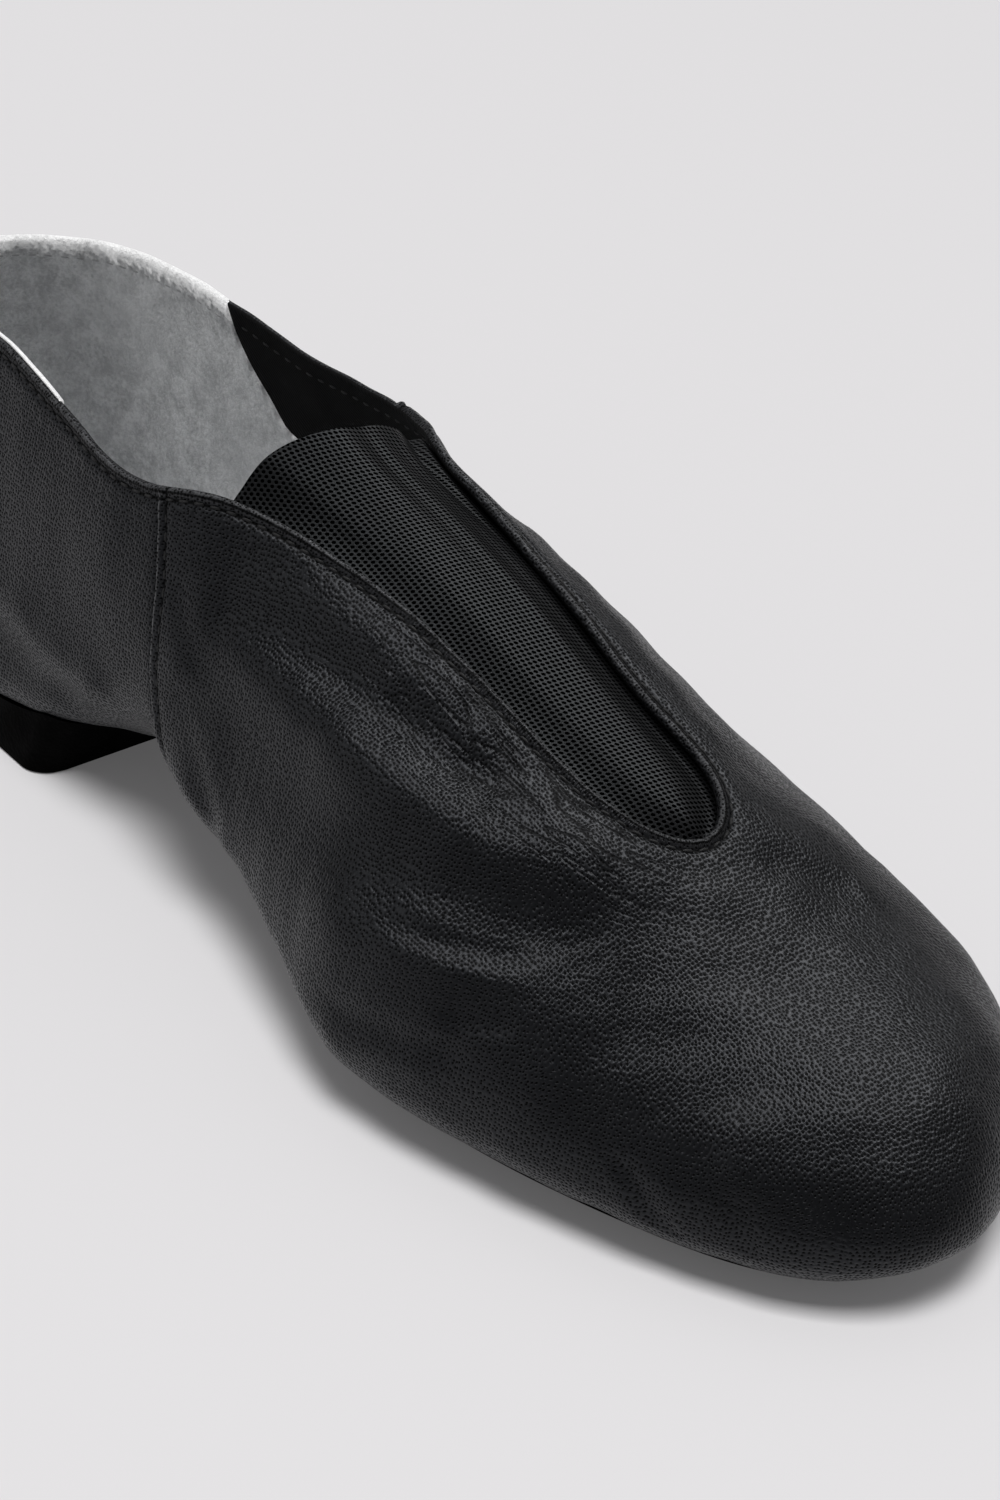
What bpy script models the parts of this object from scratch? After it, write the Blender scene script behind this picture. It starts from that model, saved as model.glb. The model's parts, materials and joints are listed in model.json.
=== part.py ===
"""Slip-on jazz shoe with a split sole, for the right foot.

Metres, +Z up. +X runs to the toe and +Y to the inner side of the foot. The origin is the middle of the
heel pad's flat bottom. The upper is a hollow shell over a last, whose sections are worked out from the
length, the widths, the instep, the collar and what the shoe stands on.
"""
import math
from collections import namedtuple

import bpy
import numpy as np

MM = 0.001

# Driving sizes of the last, over the upper's outside
SHOE_LENGTH = 246 * MM
BALL_WIDTH = 87 * MM
HEEL_WIDTH = 56 * MM
INSTEP_HEIGHT = 72 * MM
COLLAR_HEIGHT = 65 * MM
TOE_HEIGHT = 25 * MM

# What the shoe stands on, and how the last rises over it
HEEL_THICKNESS = 8 * MM
SOLE_THICKNESS = 2.4 * MM
ARCH_RISE = 10.8 * MM
TOE_SPRING = 4 * MM
HEEL_CENTRE = 0.1463 * SHOE_LENGTH

# Leather upper
UPPER_WALL = 1.6 * MM
LASTING_MARGIN = 17 * MM
BUTT_SEAM = 0.6 * MM
BEAD_PROUD = 0.4 * MM
BEAD_WIDTH = 2.0 * MM
LAP_STEP = 0.6 * MM
LAP_WIDTH = 8 * MM
LAP_EDGE = 0.5 * MM
SEAM_LEAN = 0.38
THROAT_END = 0.746 * SHOE_LENGTH
THROAT_ROUND = 14 * MM

# Elastic gore, insole, sole patch and heel pad
SEAT_GAP = 0.3 * MM
FACET_SLACK = 0.2 * MM
GORE_WALL = 1.1 * MM
GORE_BACK = 0.423 * SHOE_LENGTH
GORE_OVERLAP = 7 * MM
GORE_RISE = 1.1 * MM
GORE_SLIP = 0.15 * MM
GORE_END_GAP = 1.0 * MM
INSOLE_THICKNESS = 1.6 * MM
SOLE_BACK = 0.569 * SHOE_LENGTH
SOLE_INSET = 11 * MM
SOLE_EDGE = 3.2 * MM
SOLE_CORNER = 16 * MM
SOLE_CORNER_CUT = 0.55
SOLE_REST = 0.715 * SHOE_LENGTH
PAD_INSET = 2.6 * MM
PAD_TAPER = 0.8 * MM
PAD_FRONT = 0.301 * SHOE_LENGTH
PAD_CORNER = 5 * MM
PAD_CORNER_CUT = 0.22
BREAST_LEAN = 4.5 * MM
EDGE_ROUND = 0.7 * MM
END_CLEARANCE = 0.4 * MM

# Half widths of the last, as shares of the width that each row follows
Width = namedtuple("Width", "at follows centre outer inner")
WIDTHS = (
    Width(0.000, HEEL_WIDTH, 0.000, 0.482, 0.473),
    Width(0.120, HEEL_WIDTH, 0.000, 0.482, 0.473),
    Width(0.250, HEEL_WIDTH, 0.000, 0.511, 0.484),
    Width(0.375, HEEL_WIDTH, 0.005, 0.545, 0.496),
    Width(0.450, HEEL_WIDTH, 0.018, 0.584, 0.554),
    Width(0.550, BALL_WIDTH, 0.021, 0.439, 0.416),
    Width(0.650, BALL_WIDTH, 0.034, 0.532, 0.469),
    Width(0.730, BALL_WIDTH, 0.048, 0.526, 0.480),
    Width(0.830, BALL_WIDTH, 0.071, 0.486, 0.480),
    Width(0.930, BALL_WIDTH, 0.069, 0.446, 0.402),
    Width(1.000, BALL_WIDTH, 0.008, 0.372, 0.330),
)

# Height of the widest line and of the crown, as shares of the height that each row follows
Height = namedtuple("Height", "at follows level crown")
HEIGHTS = (
    Height(0.000, COLLAR_HEIGHT, 0.400, 1.480),
    Height(0.120, COLLAR_HEIGHT, 0.400, 1.480),
    Height(0.250, COLLAR_HEIGHT, 0.415, 1.423),
    Height(0.375, COLLAR_HEIGHT, 0.560, 1.246),
    Height(0.450, INSTEP_HEIGHT, 0.372, 1.010),
    Height(0.550, INSTEP_HEIGHT, 0.292, 0.899),
    Height(0.650, INSTEP_HEIGHT, 0.218, 0.762),
    Height(0.730, INSTEP_HEIGHT, 0.206, 0.654),
    Height(0.830, TOE_HEIGHT, 0.576, 1.416),
    Height(0.930, TOE_HEIGHT, 0.536, 1.188),
    Height(1.000, TOE_HEIGHT, 0.548, 1.020),
)

# Underside over the floor: shares of the heel pad, the sole patch, the arch and the toe spring
Under = namedtuple("Under", "at pad sole arch spring")
UNDERSIDE = (
    Under(0.000, 1.00, 0.00, 0.00, 0.00),
    Under(0.120, 1.00, 0.00, 0.00, 0.00),
    Under(0.250, 1.00, 0.00, 0.11, 0.00),
    Under(0.375, 0.50, 0.50, 0.95, 0.00),
    Under(0.450, 0.20, 0.80, 1.00, 0.00),
    Under(0.550, 0.00, 1.00, 0.53, 0.00),
    Under(0.650, 0.00, 1.00, 0.09, 0.00),
    Under(0.730, 0.00, 1.00, 0.00, 0.00),
    Under(0.830, 0.00, 1.00, 0.00, 0.03),
    Under(0.930, 0.00, 1.00, 0.00, 0.20),
    Under(1.000, 0.00, 1.00, 0.00, 1.00),
)

# Powers of the rounded section over and under its widest line: 2 is an ellipse, more is squarer
Roundness = namedtuple("Roundness", "at over_y over_z under_y under_z")
ROUNDNESS = (
    Roundness(0.000, 2.20, 2.0, 10.0, 5.5),
    Roundness(0.120, 2.20, 2.0, 10.0, 5.5),
    Roundness(0.250, 2.20, 2.0, 9.0, 5.0),
    Roundness(0.375, 2.30, 2.0, 2.8, 2.1),
    Roundness(0.450, 2.30, 2.0, 2.3, 2.0),
    Roundness(0.550, 2.20, 2.0, 2.5, 2.0),
    Roundness(0.650, 2.20, 2.0, 3.6, 2.3),
    Roundness(0.730, 2.15, 2.0, 4.0, 2.4),
    Roundness(0.930, 2.15, 2.0, 3.8, 2.4),
    Roundness(1.000, 2.10, 2.0, 3.6, 2.3),
)

# Topline at the collar, as shares of the collar height
Collar = namedtuple("Collar", "at height")
COLLAR = (
    Collar(0.000, 0.915),
    Collar(0.080, 0.950),
    Collar(0.200, 1.000),
    Collar(0.290, 1.002),
    Collar(0.365, 1.000),
)

# Topline along the throat, as shares of the ball width in plan
Throat = namedtuple("Throat", "at axis half")
THROAT = (
    Throat(0.400, -0.010, 0.235),
    Throat(0.440, -0.012, 0.190),
    Throat(0.480, -0.006, 0.165),
    Throat(0.540, 0.007, 0.145),
    Throat(0.600, 0.016, 0.129),
    Throat(0.660, 0.027, 0.118),
    Throat(0.710, 0.046, 0.114),
    Throat(0.748, 0.057, 0.112),
)

# How far the upper is open underneath, from a butt seam at 0 to the lasting margin at 1
Seat = namedtuple("Seat", "at open")
SEATS = (Seat(0.14, 1.0), Seat(0.29, 0.0), Seat(0.57, 0.0), Seat(0.74, 1.0))

# Insole edge, in from the last's plan outline, as shares of the ball width
Inset = namedtuple("Inset", "at inset")
INSOLE_EDGE = (Inset(0.00, 0.085), Inset(0.22, 0.095), Inset(0.30, 0.150), Inset(0.45, 0.190),
               Inset(0.55, 0.190), Inset(0.64, 0.175), Inset(0.74, 0.130), Inset(1.00, 0.140))

# Rounding of the heel and the toe, as shares of the widths
HEEL_ROUND = 0.55 * HEEL_WIDTH
TOE_ROUND = 0.71 * BALL_WIDTH
HEEL_CROWN_ROUND = 0.64 * HEEL_WIDTH
TOE_CROWN_ROUND = 0.28 * BALL_WIDTH
HEEL_UNDER_ROUND = 0.16 * HEEL_WIDTH
TOE_UNDER_ROUND = 0.16 * BALL_WIDTH
HEEL_POWER = 2.1
TOE_POWER = 2.3
CROWN_POWER = 2.0

# Where the collar's heights hand over to the throat's half widths, and where the side seams start
ANKLE_FROM = 0.29 * SHOE_LENGTH
ANKLE_TO = 0.44 * SHOE_LENGTH
SEAM_AT = {-1: 0.369 * SHOE_LENGTH, 1: 0.386 * SHOE_LENGTH}
SEAM_REACH = 0.19 * SHOE_LENGTH

# Fineness of the faceted shells
FAN_COLUMNS = 9
SIDE_STEP = 6.2 * MM
UPPER_ROWS = 17
UNDER_ROWS = 9
INNER_EVERY = 2
ROW_CROWDING = 1.25
PROFILE_STEPS = 181
TOE_FAN_FOOT = THROAT_END - THROAT_ROUND / 2
CAST_HALVINGS = 40
GORE_STATIONS = 20
GORE_ACROSS = 17
GORE_TRACE = 121
INSOLE_STATIONS = 35
INSOLE_ACROSS = 9
BLOCK_STATIONS = 19
BLOCK_ACROSS = 13
SHARP_ANGLE = 40


def smoothstep(t):
    """Ease from 0 to 1."""
    t = np.clip(t, 0.0, 1.0)
    return t * t * (3.0 - 2.0 * t)


def spline(at, values):
    """Natural cubic curve through the values, held level past its ends."""
    at = np.asarray(at, float)
    values = np.asarray(values, float)
    count = len(at)
    step = np.diff(at)
    matrix = np.eye(count)
    right = np.zeros(count)
    for i in range(1, count - 1):
        matrix[i, i - 1:i + 2] = step[i - 1], 2 * (step[i - 1] + step[i]), step[i]
        right[i] = 6 * ((values[i + 1] - values[i]) / step[i] - (values[i] - values[i - 1]) / step[i - 1])
    bend = np.linalg.solve(matrix, right)

    def curve(x):
        x = np.clip(x, at[0], at[-1])
        i = np.clip(np.searchsorted(at, x) - 1, 0, count - 2)
        h = step[i]
        before = at[i + 1] - x
        after = x - at[i]
        cubic = (bend[i] * before ** 3 + bend[i + 1] * after ** 3) / (6 * h)
        return (cubic + (values[i] / h - bend[i] * h / 6) * before
                + (values[i + 1] / h - bend[i + 1] * h / 6) * after)

    return curve


def over_length(rows, value):
    """Curve over the shoe's length through one column of a table."""
    return spline([row.at * SHOE_LENGTH for row in rows], [value(row) for row in rows])


LAST = {
    "centre": over_length(WIDTHS, lambda row: row.centre * row.follows),
    "outer": over_length(WIDTHS, lambda row: row.outer * row.follows),
    "inner": over_length(WIDTHS, lambda row: row.inner * row.follows),
    "level": over_length(HEIGHTS, lambda row: row.level * row.follows),
    "crown": over_length(HEIGHTS, lambda row: row.crown * row.follows),
    "under": over_length(UNDERSIDE, lambda row: SEAT_GAP + FACET_SLACK + row.pad * HEEL_THICKNESS
                         + row.sole * SOLE_THICKNESS + row.arch * ARCH_RISE + row.spring * TOE_SPRING),
    "over_y": over_length(ROUNDNESS, lambda row: row.over_y),
    "over_z": over_length(ROUNDNESS, lambda row: row.over_z),
    "under_y": over_length(ROUNDNESS, lambda row: row.under_y),
    "under_z": over_length(ROUNDNESS, lambda row: row.under_z),
}


def rounding(x, heel_round, toe_round, heel_power, toe_power, inset=0.0):
    """Share that is left of a half width or a height towards the heel's and the toe's tips."""
    heel = np.clip(1 - (x - inset) / (heel_round - inset), 0, 1)
    toe = np.clip(1 - (SHOE_LENGTH - inset - x) / (toe_round - inset), 0, 1)
    return (1 - heel ** heel_power) ** (1 / heel_power) * (1 - toe ** toe_power) ** (1 / toe_power)


def plan_half(x, side, inset=0.0):
    """Half width of the last in plan, or of its outline moved in all round by an inset."""
    full = np.where(np.asarray(side) < 0, LAST["outer"](x), LAST["inner"](x))
    return (full - inset) * rounding(x, HEEL_ROUND, TOE_ROUND, HEEL_POWER, TOE_POWER, inset)


def section(x, side):
    """Every measure of the last's section at x, on the outer (-1) or the inner (+1) side."""
    x = np.clip(x, 0.0, SHOE_LENGTH)
    s = {name: curve(x) for name, curve in LAST.items()}
    s["half"] = np.maximum(plan_half(x, side), 1e-6)
    up = rounding(x, HEEL_CROWN_ROUND, TOE_CROWN_ROUND, CROWN_POWER, CROWN_POWER)
    down = rounding(x, HEEL_UNDER_ROUND, TOE_UNDER_ROUND, CROWN_POWER, CROWN_POWER)
    s["rise"] = np.maximum((s["crown"] - s["level"]) * up, 1e-6)
    s["drop"] = np.maximum((s["level"] - s["under"]) * down, 1e-6)
    return s


def outside(points):
    """Below 0 inside the last, above 0 outside it."""
    x, y, z = np.moveaxis(points, -1, 0)
    side = np.where(y < LAST["centre"](x), -1, 1)
    s = section(x, side)
    over = z > s["level"]
    height = np.where(over, s["rise"], s["drop"])
    power_y = np.where(over, s["over_y"], s["under_y"])
    power_z = np.where(over, s["over_z"], s["under_z"])
    value = (np.abs(y - s["centre"]) / s["half"]) ** power_y + (np.abs(z - s["level"]) / height) ** power_z - 1
    return np.where((x < 0) | (x > SHOE_LENGTH), 1.0, value)


def crown_height(x, y):
    """Height of the last's upper side over a point in plan."""
    side = np.where(y < LAST["centre"](x), -1, 1)
    s = section(x, side)
    k = np.clip(np.abs(y - s["centre"]) / s["half"], 0, 1)
    return s["level"] + s["rise"] * (1 - k ** s["over_y"]) ** (1 / s["over_z"])


def under_height(x, y):
    """Height of the last's underside over a point in plan."""
    side = np.where(y < LAST["centre"](x), -1, 1)
    s = section(x, side)
    k = np.clip(np.abs(y - s["centre"]) / s["half"], 0, 1)
    return s["level"] - s["drop"] * (1 - k ** s["under_y"]) ** (1 / s["under_z"])


collar_line = over_length(COLLAR, lambda row: row.height * COLLAR_HEIGHT)
throat_axis = over_length(THROAT, lambda row: row.axis * BALL_WIDTH)
throat_side = over_length(THROAT, lambda row: row.half * BALL_WIDTH)


def throat_half(x):
    """Half width of the throat, closing in a round end."""
    past = np.clip((x - (THROAT_END - THROAT_ROUND)) / THROAT_ROUND, 0, 1)
    return throat_side(x) * np.sqrt(1 - past ** 2)


def edge_angle(side):
    """Curve of the topline's angle over the widest line, from the rows on both sides of the ankle."""
    at = []
    angles = []
    for row in COLLAR[2:]:
        x = row.at * SHOE_LENGTH
        s = section(x, side)
        rise = row.height * COLLAR_HEIGHT - s["level"]
        half = s["half"] * (1 - (rise / s["rise"]) ** s["over_z"]) ** (1 / s["over_y"])
        at.append(x)
        angles.append(math.atan2(rise, half))
    for row in THROAT[:3]:
        x = row.at * SHOE_LENGTH
        y = (row.axis + side * row.half) * BALL_WIDTH
        at.append(x)
        angles.append(math.atan2(crown_height(x, y) - LAST["level"](x), abs(y - LAST["centre"](x))))
    return spline(at, angles)


EDGE_ANGLE = {side: edge_angle(side) for side in (-1, 1)}


def top_opening(points):
    """Above 0 where the collar and the throat leave the last open."""
    x, y, z = np.moveaxis(points, -1, 0)
    level = LAST["level"](x)
    across = y - LAST["centre"](x)
    collar = z - collar_line(x)
    angle = np.arctan2(z - level, np.abs(across))
    ankle = angle - np.where(across < 0, EDGE_ANGLE[-1](x), EDGE_ANGLE[1](x))
    throat = throat_half(x) - np.abs(y - throat_axis(x)) - np.maximum(x - THROAT_END, 0)
    throat = np.where(z > level, throat, -1.0)
    return np.where(x < ANKLE_FROM, collar, np.where(x < ANKLE_TO, ankle, throat))


def seat_share(x):
    """How far the upper is open underneath at x."""
    at = [row.at * SHOE_LENGTH for row in SEATS]
    return smoothstep(np.interp(x, at, [row.open for row in SEATS]))


def seat_opening(points):
    """Above 0 where the upper is open underneath, inside its lasting margin."""
    x, y, z = np.moveaxis(points, -1, 0)
    across = y - LAST["centre"](x)
    side = np.where(across < 0, -1, 1)
    half = BUTT_SEAM / 2 + seat_share(x) * plan_half(x, side, LASTING_MARGIN)
    past = np.maximum(LASTING_MARGIN - x, 0) + np.maximum(x - SHOE_LENGTH + LASTING_MARGIN, 0)
    return np.where(z < LAST["level"](x), half - np.abs(across) - past, -1.0)


def side_stations(seam):
    """Where the columns along one side stand, with two close ones at the seam's folded edge."""
    heel = HEEL_ROUND
    toe = TOE_FAN_FOOT
    back = np.linspace(heel, seam - LAP_EDGE / 2, round((seam - heel) / SIDE_STEP) + 1)
    lap = seam + LAP_EDGE / 2 + LAP_WIDTH * np.array([0.0, 0.5, 1.0, 1.5])
    front = np.linspace(lap[-1], toe, round((toe - lap[-1]) / SIDE_STEP) + 1)
    return np.concatenate([back, lap, front[1:]])


def columns():
    """Foot of each column in plan, its direction, its side and its place ahead of the seam."""
    rows = []
    for side in (-1, 1):
        seam = SEAM_AT[side]
        stations = side_stations(seam)
        rising = [(stations[0], math.pi / 2 * i / FAN_COLUMNS, True) for i in range(FAN_COLUMNS)]
        falling = [(stations[-1], math.pi / 2 * i / FAN_COLUMNS, False) for i in range(1, FAN_COLUMNS + 1)]
        half = [(x, (-math.cos(turn), side * math.sin(turn)), side, x - seam) for x, turn, _ in rising]
        half += [(x, (0.0, side), side, x - seam) for x in stations]
        half += [(x, (math.sin(turn), side * math.cos(turn)), side, x - seam) for x, turn, _ in falling]
        rows += half if side < 0 else half[1:-1][::-1]
    return rows


def seam_shift(ahead, z):
    """How far a column leans towards the toe with the side seam, by its distance from it and its height."""
    near = np.clip(1 - (ahead / SEAM_REACH) ** 2, 0, 1) ** 2
    return near * SEAM_LEAN * np.maximum(COLLAR_HEIGHT - z, 0)


def cast(rows):
    """Profiles of the last along the columns, from straight up to straight down."""
    angles = math.pi * (0.5 - (np.arange(PROFILE_STEPS) + 0.5) / PROFILE_STEPS)
    foot_x = np.array([row[0] for row in rows])
    plan = np.array([row[1] for row in rows])
    ahead = np.array([row[3] for row in rows])[:, None]
    foot = np.stack([foot_x, LAST["centre"](foot_x), LAST["level"](foot_x)], -1)[:, None, :]
    ray = np.empty((len(rows), PROFILE_STEPS, 3))
    ray[..., :2] = np.cos(angles)[None, :, None] * plan[:, None, :]
    ray[..., 2] = np.sin(angles)

    def along(reach):
        points = foot + reach[..., None] * ray
        shift = seam_shift(ahead, points[..., 2])
        straight = LAST["centre"](points[..., 0])
        points[..., 0] += shift
        points[..., 1] += LAST["centre"](points[..., 0]) - straight
        return points

    low = np.zeros((len(rows), PROFILE_STEPS))
    high = np.full((len(rows), PROFILE_STEPS), SHOE_LENGTH)
    for _ in range(CAST_HALVINGS):
        middle = (low + high) / 2
        inside = outside(along(middle)) < 0
        low = np.where(inside, middle, low)
        high = np.where(inside, high, middle)
    return along(low)


def trimmed(profile, top, seat):
    """Stretch of one profile between the topline and the edge of the lasting margin."""
    first = np.nonzero(top > 0)[0][-1]
    after = np.nonzero((seat > 0) & (np.arange(len(seat)) > first))[0][0]
    share = top[first] / (top[first] - top[first + 1])
    start = profile[first] + share * (profile[first + 1] - profile[first])
    share = seat[after - 1] / (seat[after - 1] - seat[after])
    stop = profile[after - 1] + share * (profile[after] - profile[after - 1])
    return np.vstack([start, profile[first + 1:after], stop])


def resample(line, distances):
    """Points of a line at the given distances along it."""
    along = np.r_[0, np.cumsum(np.linalg.norm(np.diff(line, axis=0), axis=1))]
    return np.stack([np.interp(distances, along, line[:, axis]) for axis in range(3)], -1)


def length_of(line):
    """Length of a line of points."""
    return np.linalg.norm(np.diff(line, axis=0), axis=1).sum()


def normals(grid, closed):
    """Unit normals of a grid of points, whose columns run round the shoe when it is closed."""
    if closed:
        across = np.roll(grid, -1, axis=0) - np.roll(grid, 1, axis=0)
    else:
        across = np.gradient(grid, axis=0)
    down = np.gradient(grid, axis=1)
    normal = np.cross(down, across)
    return normal / np.linalg.norm(normal, axis=-1, keepdims=True)


def material(name, colour, roughness):
    """Plain surface for one kind of piece."""
    made = bpy.data.materials.new(name)
    made.use_nodes = True
    shader = made.node_tree.nodes["Principled BSDF"]
    shader.inputs["Base Color"].default_value = (*colour, 1.0)
    shader.inputs["Roughness"].default_value = roughness
    shader.inputs["Metallic"].default_value = 0.0
    return made


def piece(name, vertices, faces, seat, root, finish):
    """Mesh object whose own origin lies at its seat, hung on the shoe's empty."""
    origin = np.array([HEEL_CENTRE, 0.0, 0.0])
    mesh = bpy.data.meshes.new(name)
    mesh.from_pydata([tuple(v) for v in np.asarray(vertices) - origin - seat], [], faces)
    mesh.validate()
    mesh.shade_smooth()
    mesh.set_sharp_from_angle(angle=math.radians(SHARP_ANGLE))
    mesh.materials.append(finish)
    made = bpy.data.objects.new(name, mesh)
    made.location = seat
    made.parent = root
    bpy.context.collection.objects.link(made)
    return made


def grid_faces(rows, cols, start, closed, flip):
    """Quads over a grid of rows (round or along) by cols (down or across), numbered from start."""
    faces = []
    for i in range(rows if closed else rows - 1):
        j = (i + 1) % rows
        for k in range(cols - 1):
            quad = (start + i * cols + k, start + i * cols + k + 1, start + j * cols + k + 1, start + j * cols + k)
            faces.append(quad[::-1] if flip else quad)
    return faces


def make_upper(root, finish):
    """Hollow leather upper, open at the collar and the throat and inside its lasting margin."""
    rows = columns()
    profiles = cast(rows)
    top = top_opening(profiles)
    seat = seat_opening(profiles)
    lines = [trimmed(profiles[i], top[i], seat[i]) for i in range(len(rows))]
    bead = np.array([0.0, 0.25, 1.0, 1.25]) * BEAD_WIDTH
    shell = []
    for line in lines:
        share = 1 - (1 - np.linspace(0, 1, UPPER_ROWS)[1:]) ** ROW_CROWDING
        rest = bead[-1] + (length_of(line) - bead[-1]) * share
        shell.append(resample(line, np.r_[bead, rest]))
    shell = np.array(shell)
    normal = normals(shell, closed=True)
    ahead = np.array([row[3] for row in rows])[:, None]
    lap = np.where(ahead > 0, LAP_STEP * smoothstep(2 - ahead / LAP_WIDTH), 0.0)
    roll = np.zeros(shell.shape[1])
    roll[1:3] = BEAD_PROUD
    outer = shell + (lap + roll)[..., None] * normal
    under = shell.shape[1] - UNDER_ROWS
    keep = [0, 3] + list(range(4, under, INNER_EVERY)) + list(range(under, shell.shape[1]))
    inner = (shell - UPPER_WALL * normal)[:, keep]
    count, outer_rows = outer.shape[:2]
    inner_rows = inner.shape[1]
    start = count * outer_rows
    faces = grid_faces(count, outer_rows, 0, True, False)
    faces += grid_faces(count, inner_rows, start, True, True)
    for i in range(count):
        j = (i + 1) % count
        faces.append((i * outer_rows, j * outer_rows, start + j * inner_rows, start + i * inner_rows))
        last = outer_rows - 1
        end = start + inner_rows - 1
        faces.append((i * outer_rows + last, end + i * inner_rows, end + j * inner_rows, j * outer_rows + last))
    vertices = np.vstack([outer.reshape(-1, 3), inner.reshape(-1, 3)])
    piece("upper", vertices, faces, np.zeros(3), root, finish)


def rim(rows, cols, start):
    """Vertices round the edge of a grid, in order."""
    edge = [start + k for k in range(cols)]
    edge += [start + i * cols + cols - 1 for i in range(1, rows)]
    edge += [start + (rows - 1) * cols + k for k in range(cols - 2, -1, -1)]
    edge += [start + i * cols for i in range(rows - 2, 0, -1)]
    return edge


def plate(name, top, bottom, sides, seat, root, finish):
    """Closed sheet or block between two grids, with rings of points down its sides."""
    rows, cols = top.shape[:2]
    size = rows * cols
    vertices = [top.reshape(-1, 3), bottom.reshape(-1, 3)]
    faces = grid_faces(rows, cols, 0, False, True)
    faces += grid_faces(rows, cols, size, False, False)
    rings = [rim(rows, cols, 0)]
    start = 2 * size
    for side in sides:
        vertices.append(side)
        rings.append(list(range(start, start + len(side))))
        start += len(side)
    rings.append(rim(rows, cols, size))
    for above, below in zip(rings, rings[1:]):
        for a in range(len(above)):
            b = (a + 1) % len(above)
            faces.append((above[a], above[b], below[b], below[a]))
    piece(name, np.vstack(vertices), faces, seat, root, finish)


def edge_points(grid):
    """Points round the edge of a grid, in the order of its rim."""
    return grid.reshape(-1, 3)[rim(*grid.shape[:2], 0)]


def tips(first, last, count):
    """Stations that draw together towards both ends."""
    even = np.linspace(0, 1, count)
    drawn = (1 - np.cos(math.pi * even)) / 2
    return first + (last - first) * (even + drawn) / 2


def strip(stations, outer, inner, across):
    """Grid in plan over the stations, between an outer and an inner edge."""
    share = tips(0.0, 1.0, across)[None, :]
    y = outer[:, None] + (inner - outer)[:, None] * share
    x = np.broadcast_to(stations[:, None], y.shape)
    return x, y


def make_gore(root, finish):
    """Elastic gore under both edges of the throat, free along its rear edge."""
    run = THROAT_END + GORE_OVERLAP - GORE_END_GAP - GORE_BACK
    stations = GORE_BACK + run * np.sin(np.linspace(0, math.pi / 2, GORE_STATIONS))
    sheet = []
    inside = []
    for x in stations:
        past = np.clip((x - (THROAT_END - THROAT_ROUND)) / (THROAT_ROUND + GORE_OVERLAP), 0, 1)
        reach = (throat_side(x) + GORE_OVERLAP) * math.sqrt(1 - past ** 2)
        axis = throat_axis(x)
        wide = throat_half(x) + 2 * GORE_OVERLAP
        y = np.linspace(axis - wide, axis + wide, GORE_TRACE)
        line = np.stack([np.full_like(y, x), y, crown_height(x, y)], -1)
        along = np.r_[0, np.cumsum(np.linalg.norm(np.diff(line, axis=0), axis=1))]
        left = np.interp(axis - throat_half(x), y, along)
        right = np.interp(axis + throat_half(x), y, along)
        grow = reach - throat_half(x)
        spread = np.linspace(left - grow, right + grow, GORE_ACROSS)
        sheet.append(resample(line, spread))
        inside.append(np.minimum(spread - left, right - spread))
    sheet = np.array(sheet)
    normal = -normals(sheet, closed=False)
    lift = GORE_RISE * smoothstep((np.array(inside) - UPPER_WALL / 2) / GORE_OVERLAP)
    depth = UPPER_WALL + SEAT_GAP + GORE_SLIP - lift
    top = sheet - depth[..., None] * normal
    bottom = top - GORE_WALL * normal
    plate("elastic_gore", top, bottom, [], np.zeros(3), root, finish)


def make_insole(root, finish):
    """Insole that lies on the upper's lasting margin, from heel to toe."""
    inset = over_length(INSOLE_EDGE, lambda row: row.inset * BALL_WIDTH)
    first = float(inset(0.0))
    last = SHOE_LENGTH - float(inset(SHOE_LENGTH))
    stations = tips(first + END_CLEARANCE, last - END_CLEARANCE, INSOLE_STATIONS)
    centre = LAST["centre"](stations)
    x, y = strip(stations, centre - plan_half(stations, -1, inset(stations)),
                 centre + plan_half(stations, 1, inset(stations)), INSOLE_ACROSS)
    under = np.stack([x, y, under_height(x, y)], -1)
    up = -normals(under, closed=False)
    bottom = under + (UPPER_WALL + SEAT_GAP + FACET_SLACK) * up
    top = bottom + INSOLE_THICKNESS * up
    plate("insole", top, bottom, [], np.zeros(3), root, finish)


def corner(distance, radius, cut):
    """Share of the half width that a rounded corner leaves, by the distance from a plate's straight end."""
    past = np.clip(1 - distance / radius, 0, 1)
    return 1 - cut * (1 - np.sqrt(1 - past ** 2))


def make_sole(root, finish):
    """Sole patch under the ball and the toes, flat in the middle and rising with the upper at its edge."""
    stations = tips(SOLE_BACK, SHOE_LENGTH - SOLE_INSET - END_CLEARANCE, BLOCK_STATIONS)
    centre = LAST["centre"](stations)
    cut = corner(stations - SOLE_BACK, SOLE_CORNER, SOLE_CORNER_CUT)
    x, y = strip(stations, centre - cut * plan_half(stations, -1, SOLE_INSET),
                 centre + cut * plan_half(stations, 1, SOLE_INSET), BLOCK_ACROSS)
    top = np.stack([x, y, under_height(x, y)], -1)
    top += (SEAT_GAP + FACET_SLACK) * normals(top, closed=False)
    bottom = top.copy()
    bottom[..., 2] = np.maximum(top[..., 2] - SOLE_EDGE, 0.0)
    flat = np.array([SOLE_REST - HEEL_CENTRE, 0.0, 0.0])
    plate("forefoot_sole", top, bottom, [], flat, root, finish)


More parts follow.
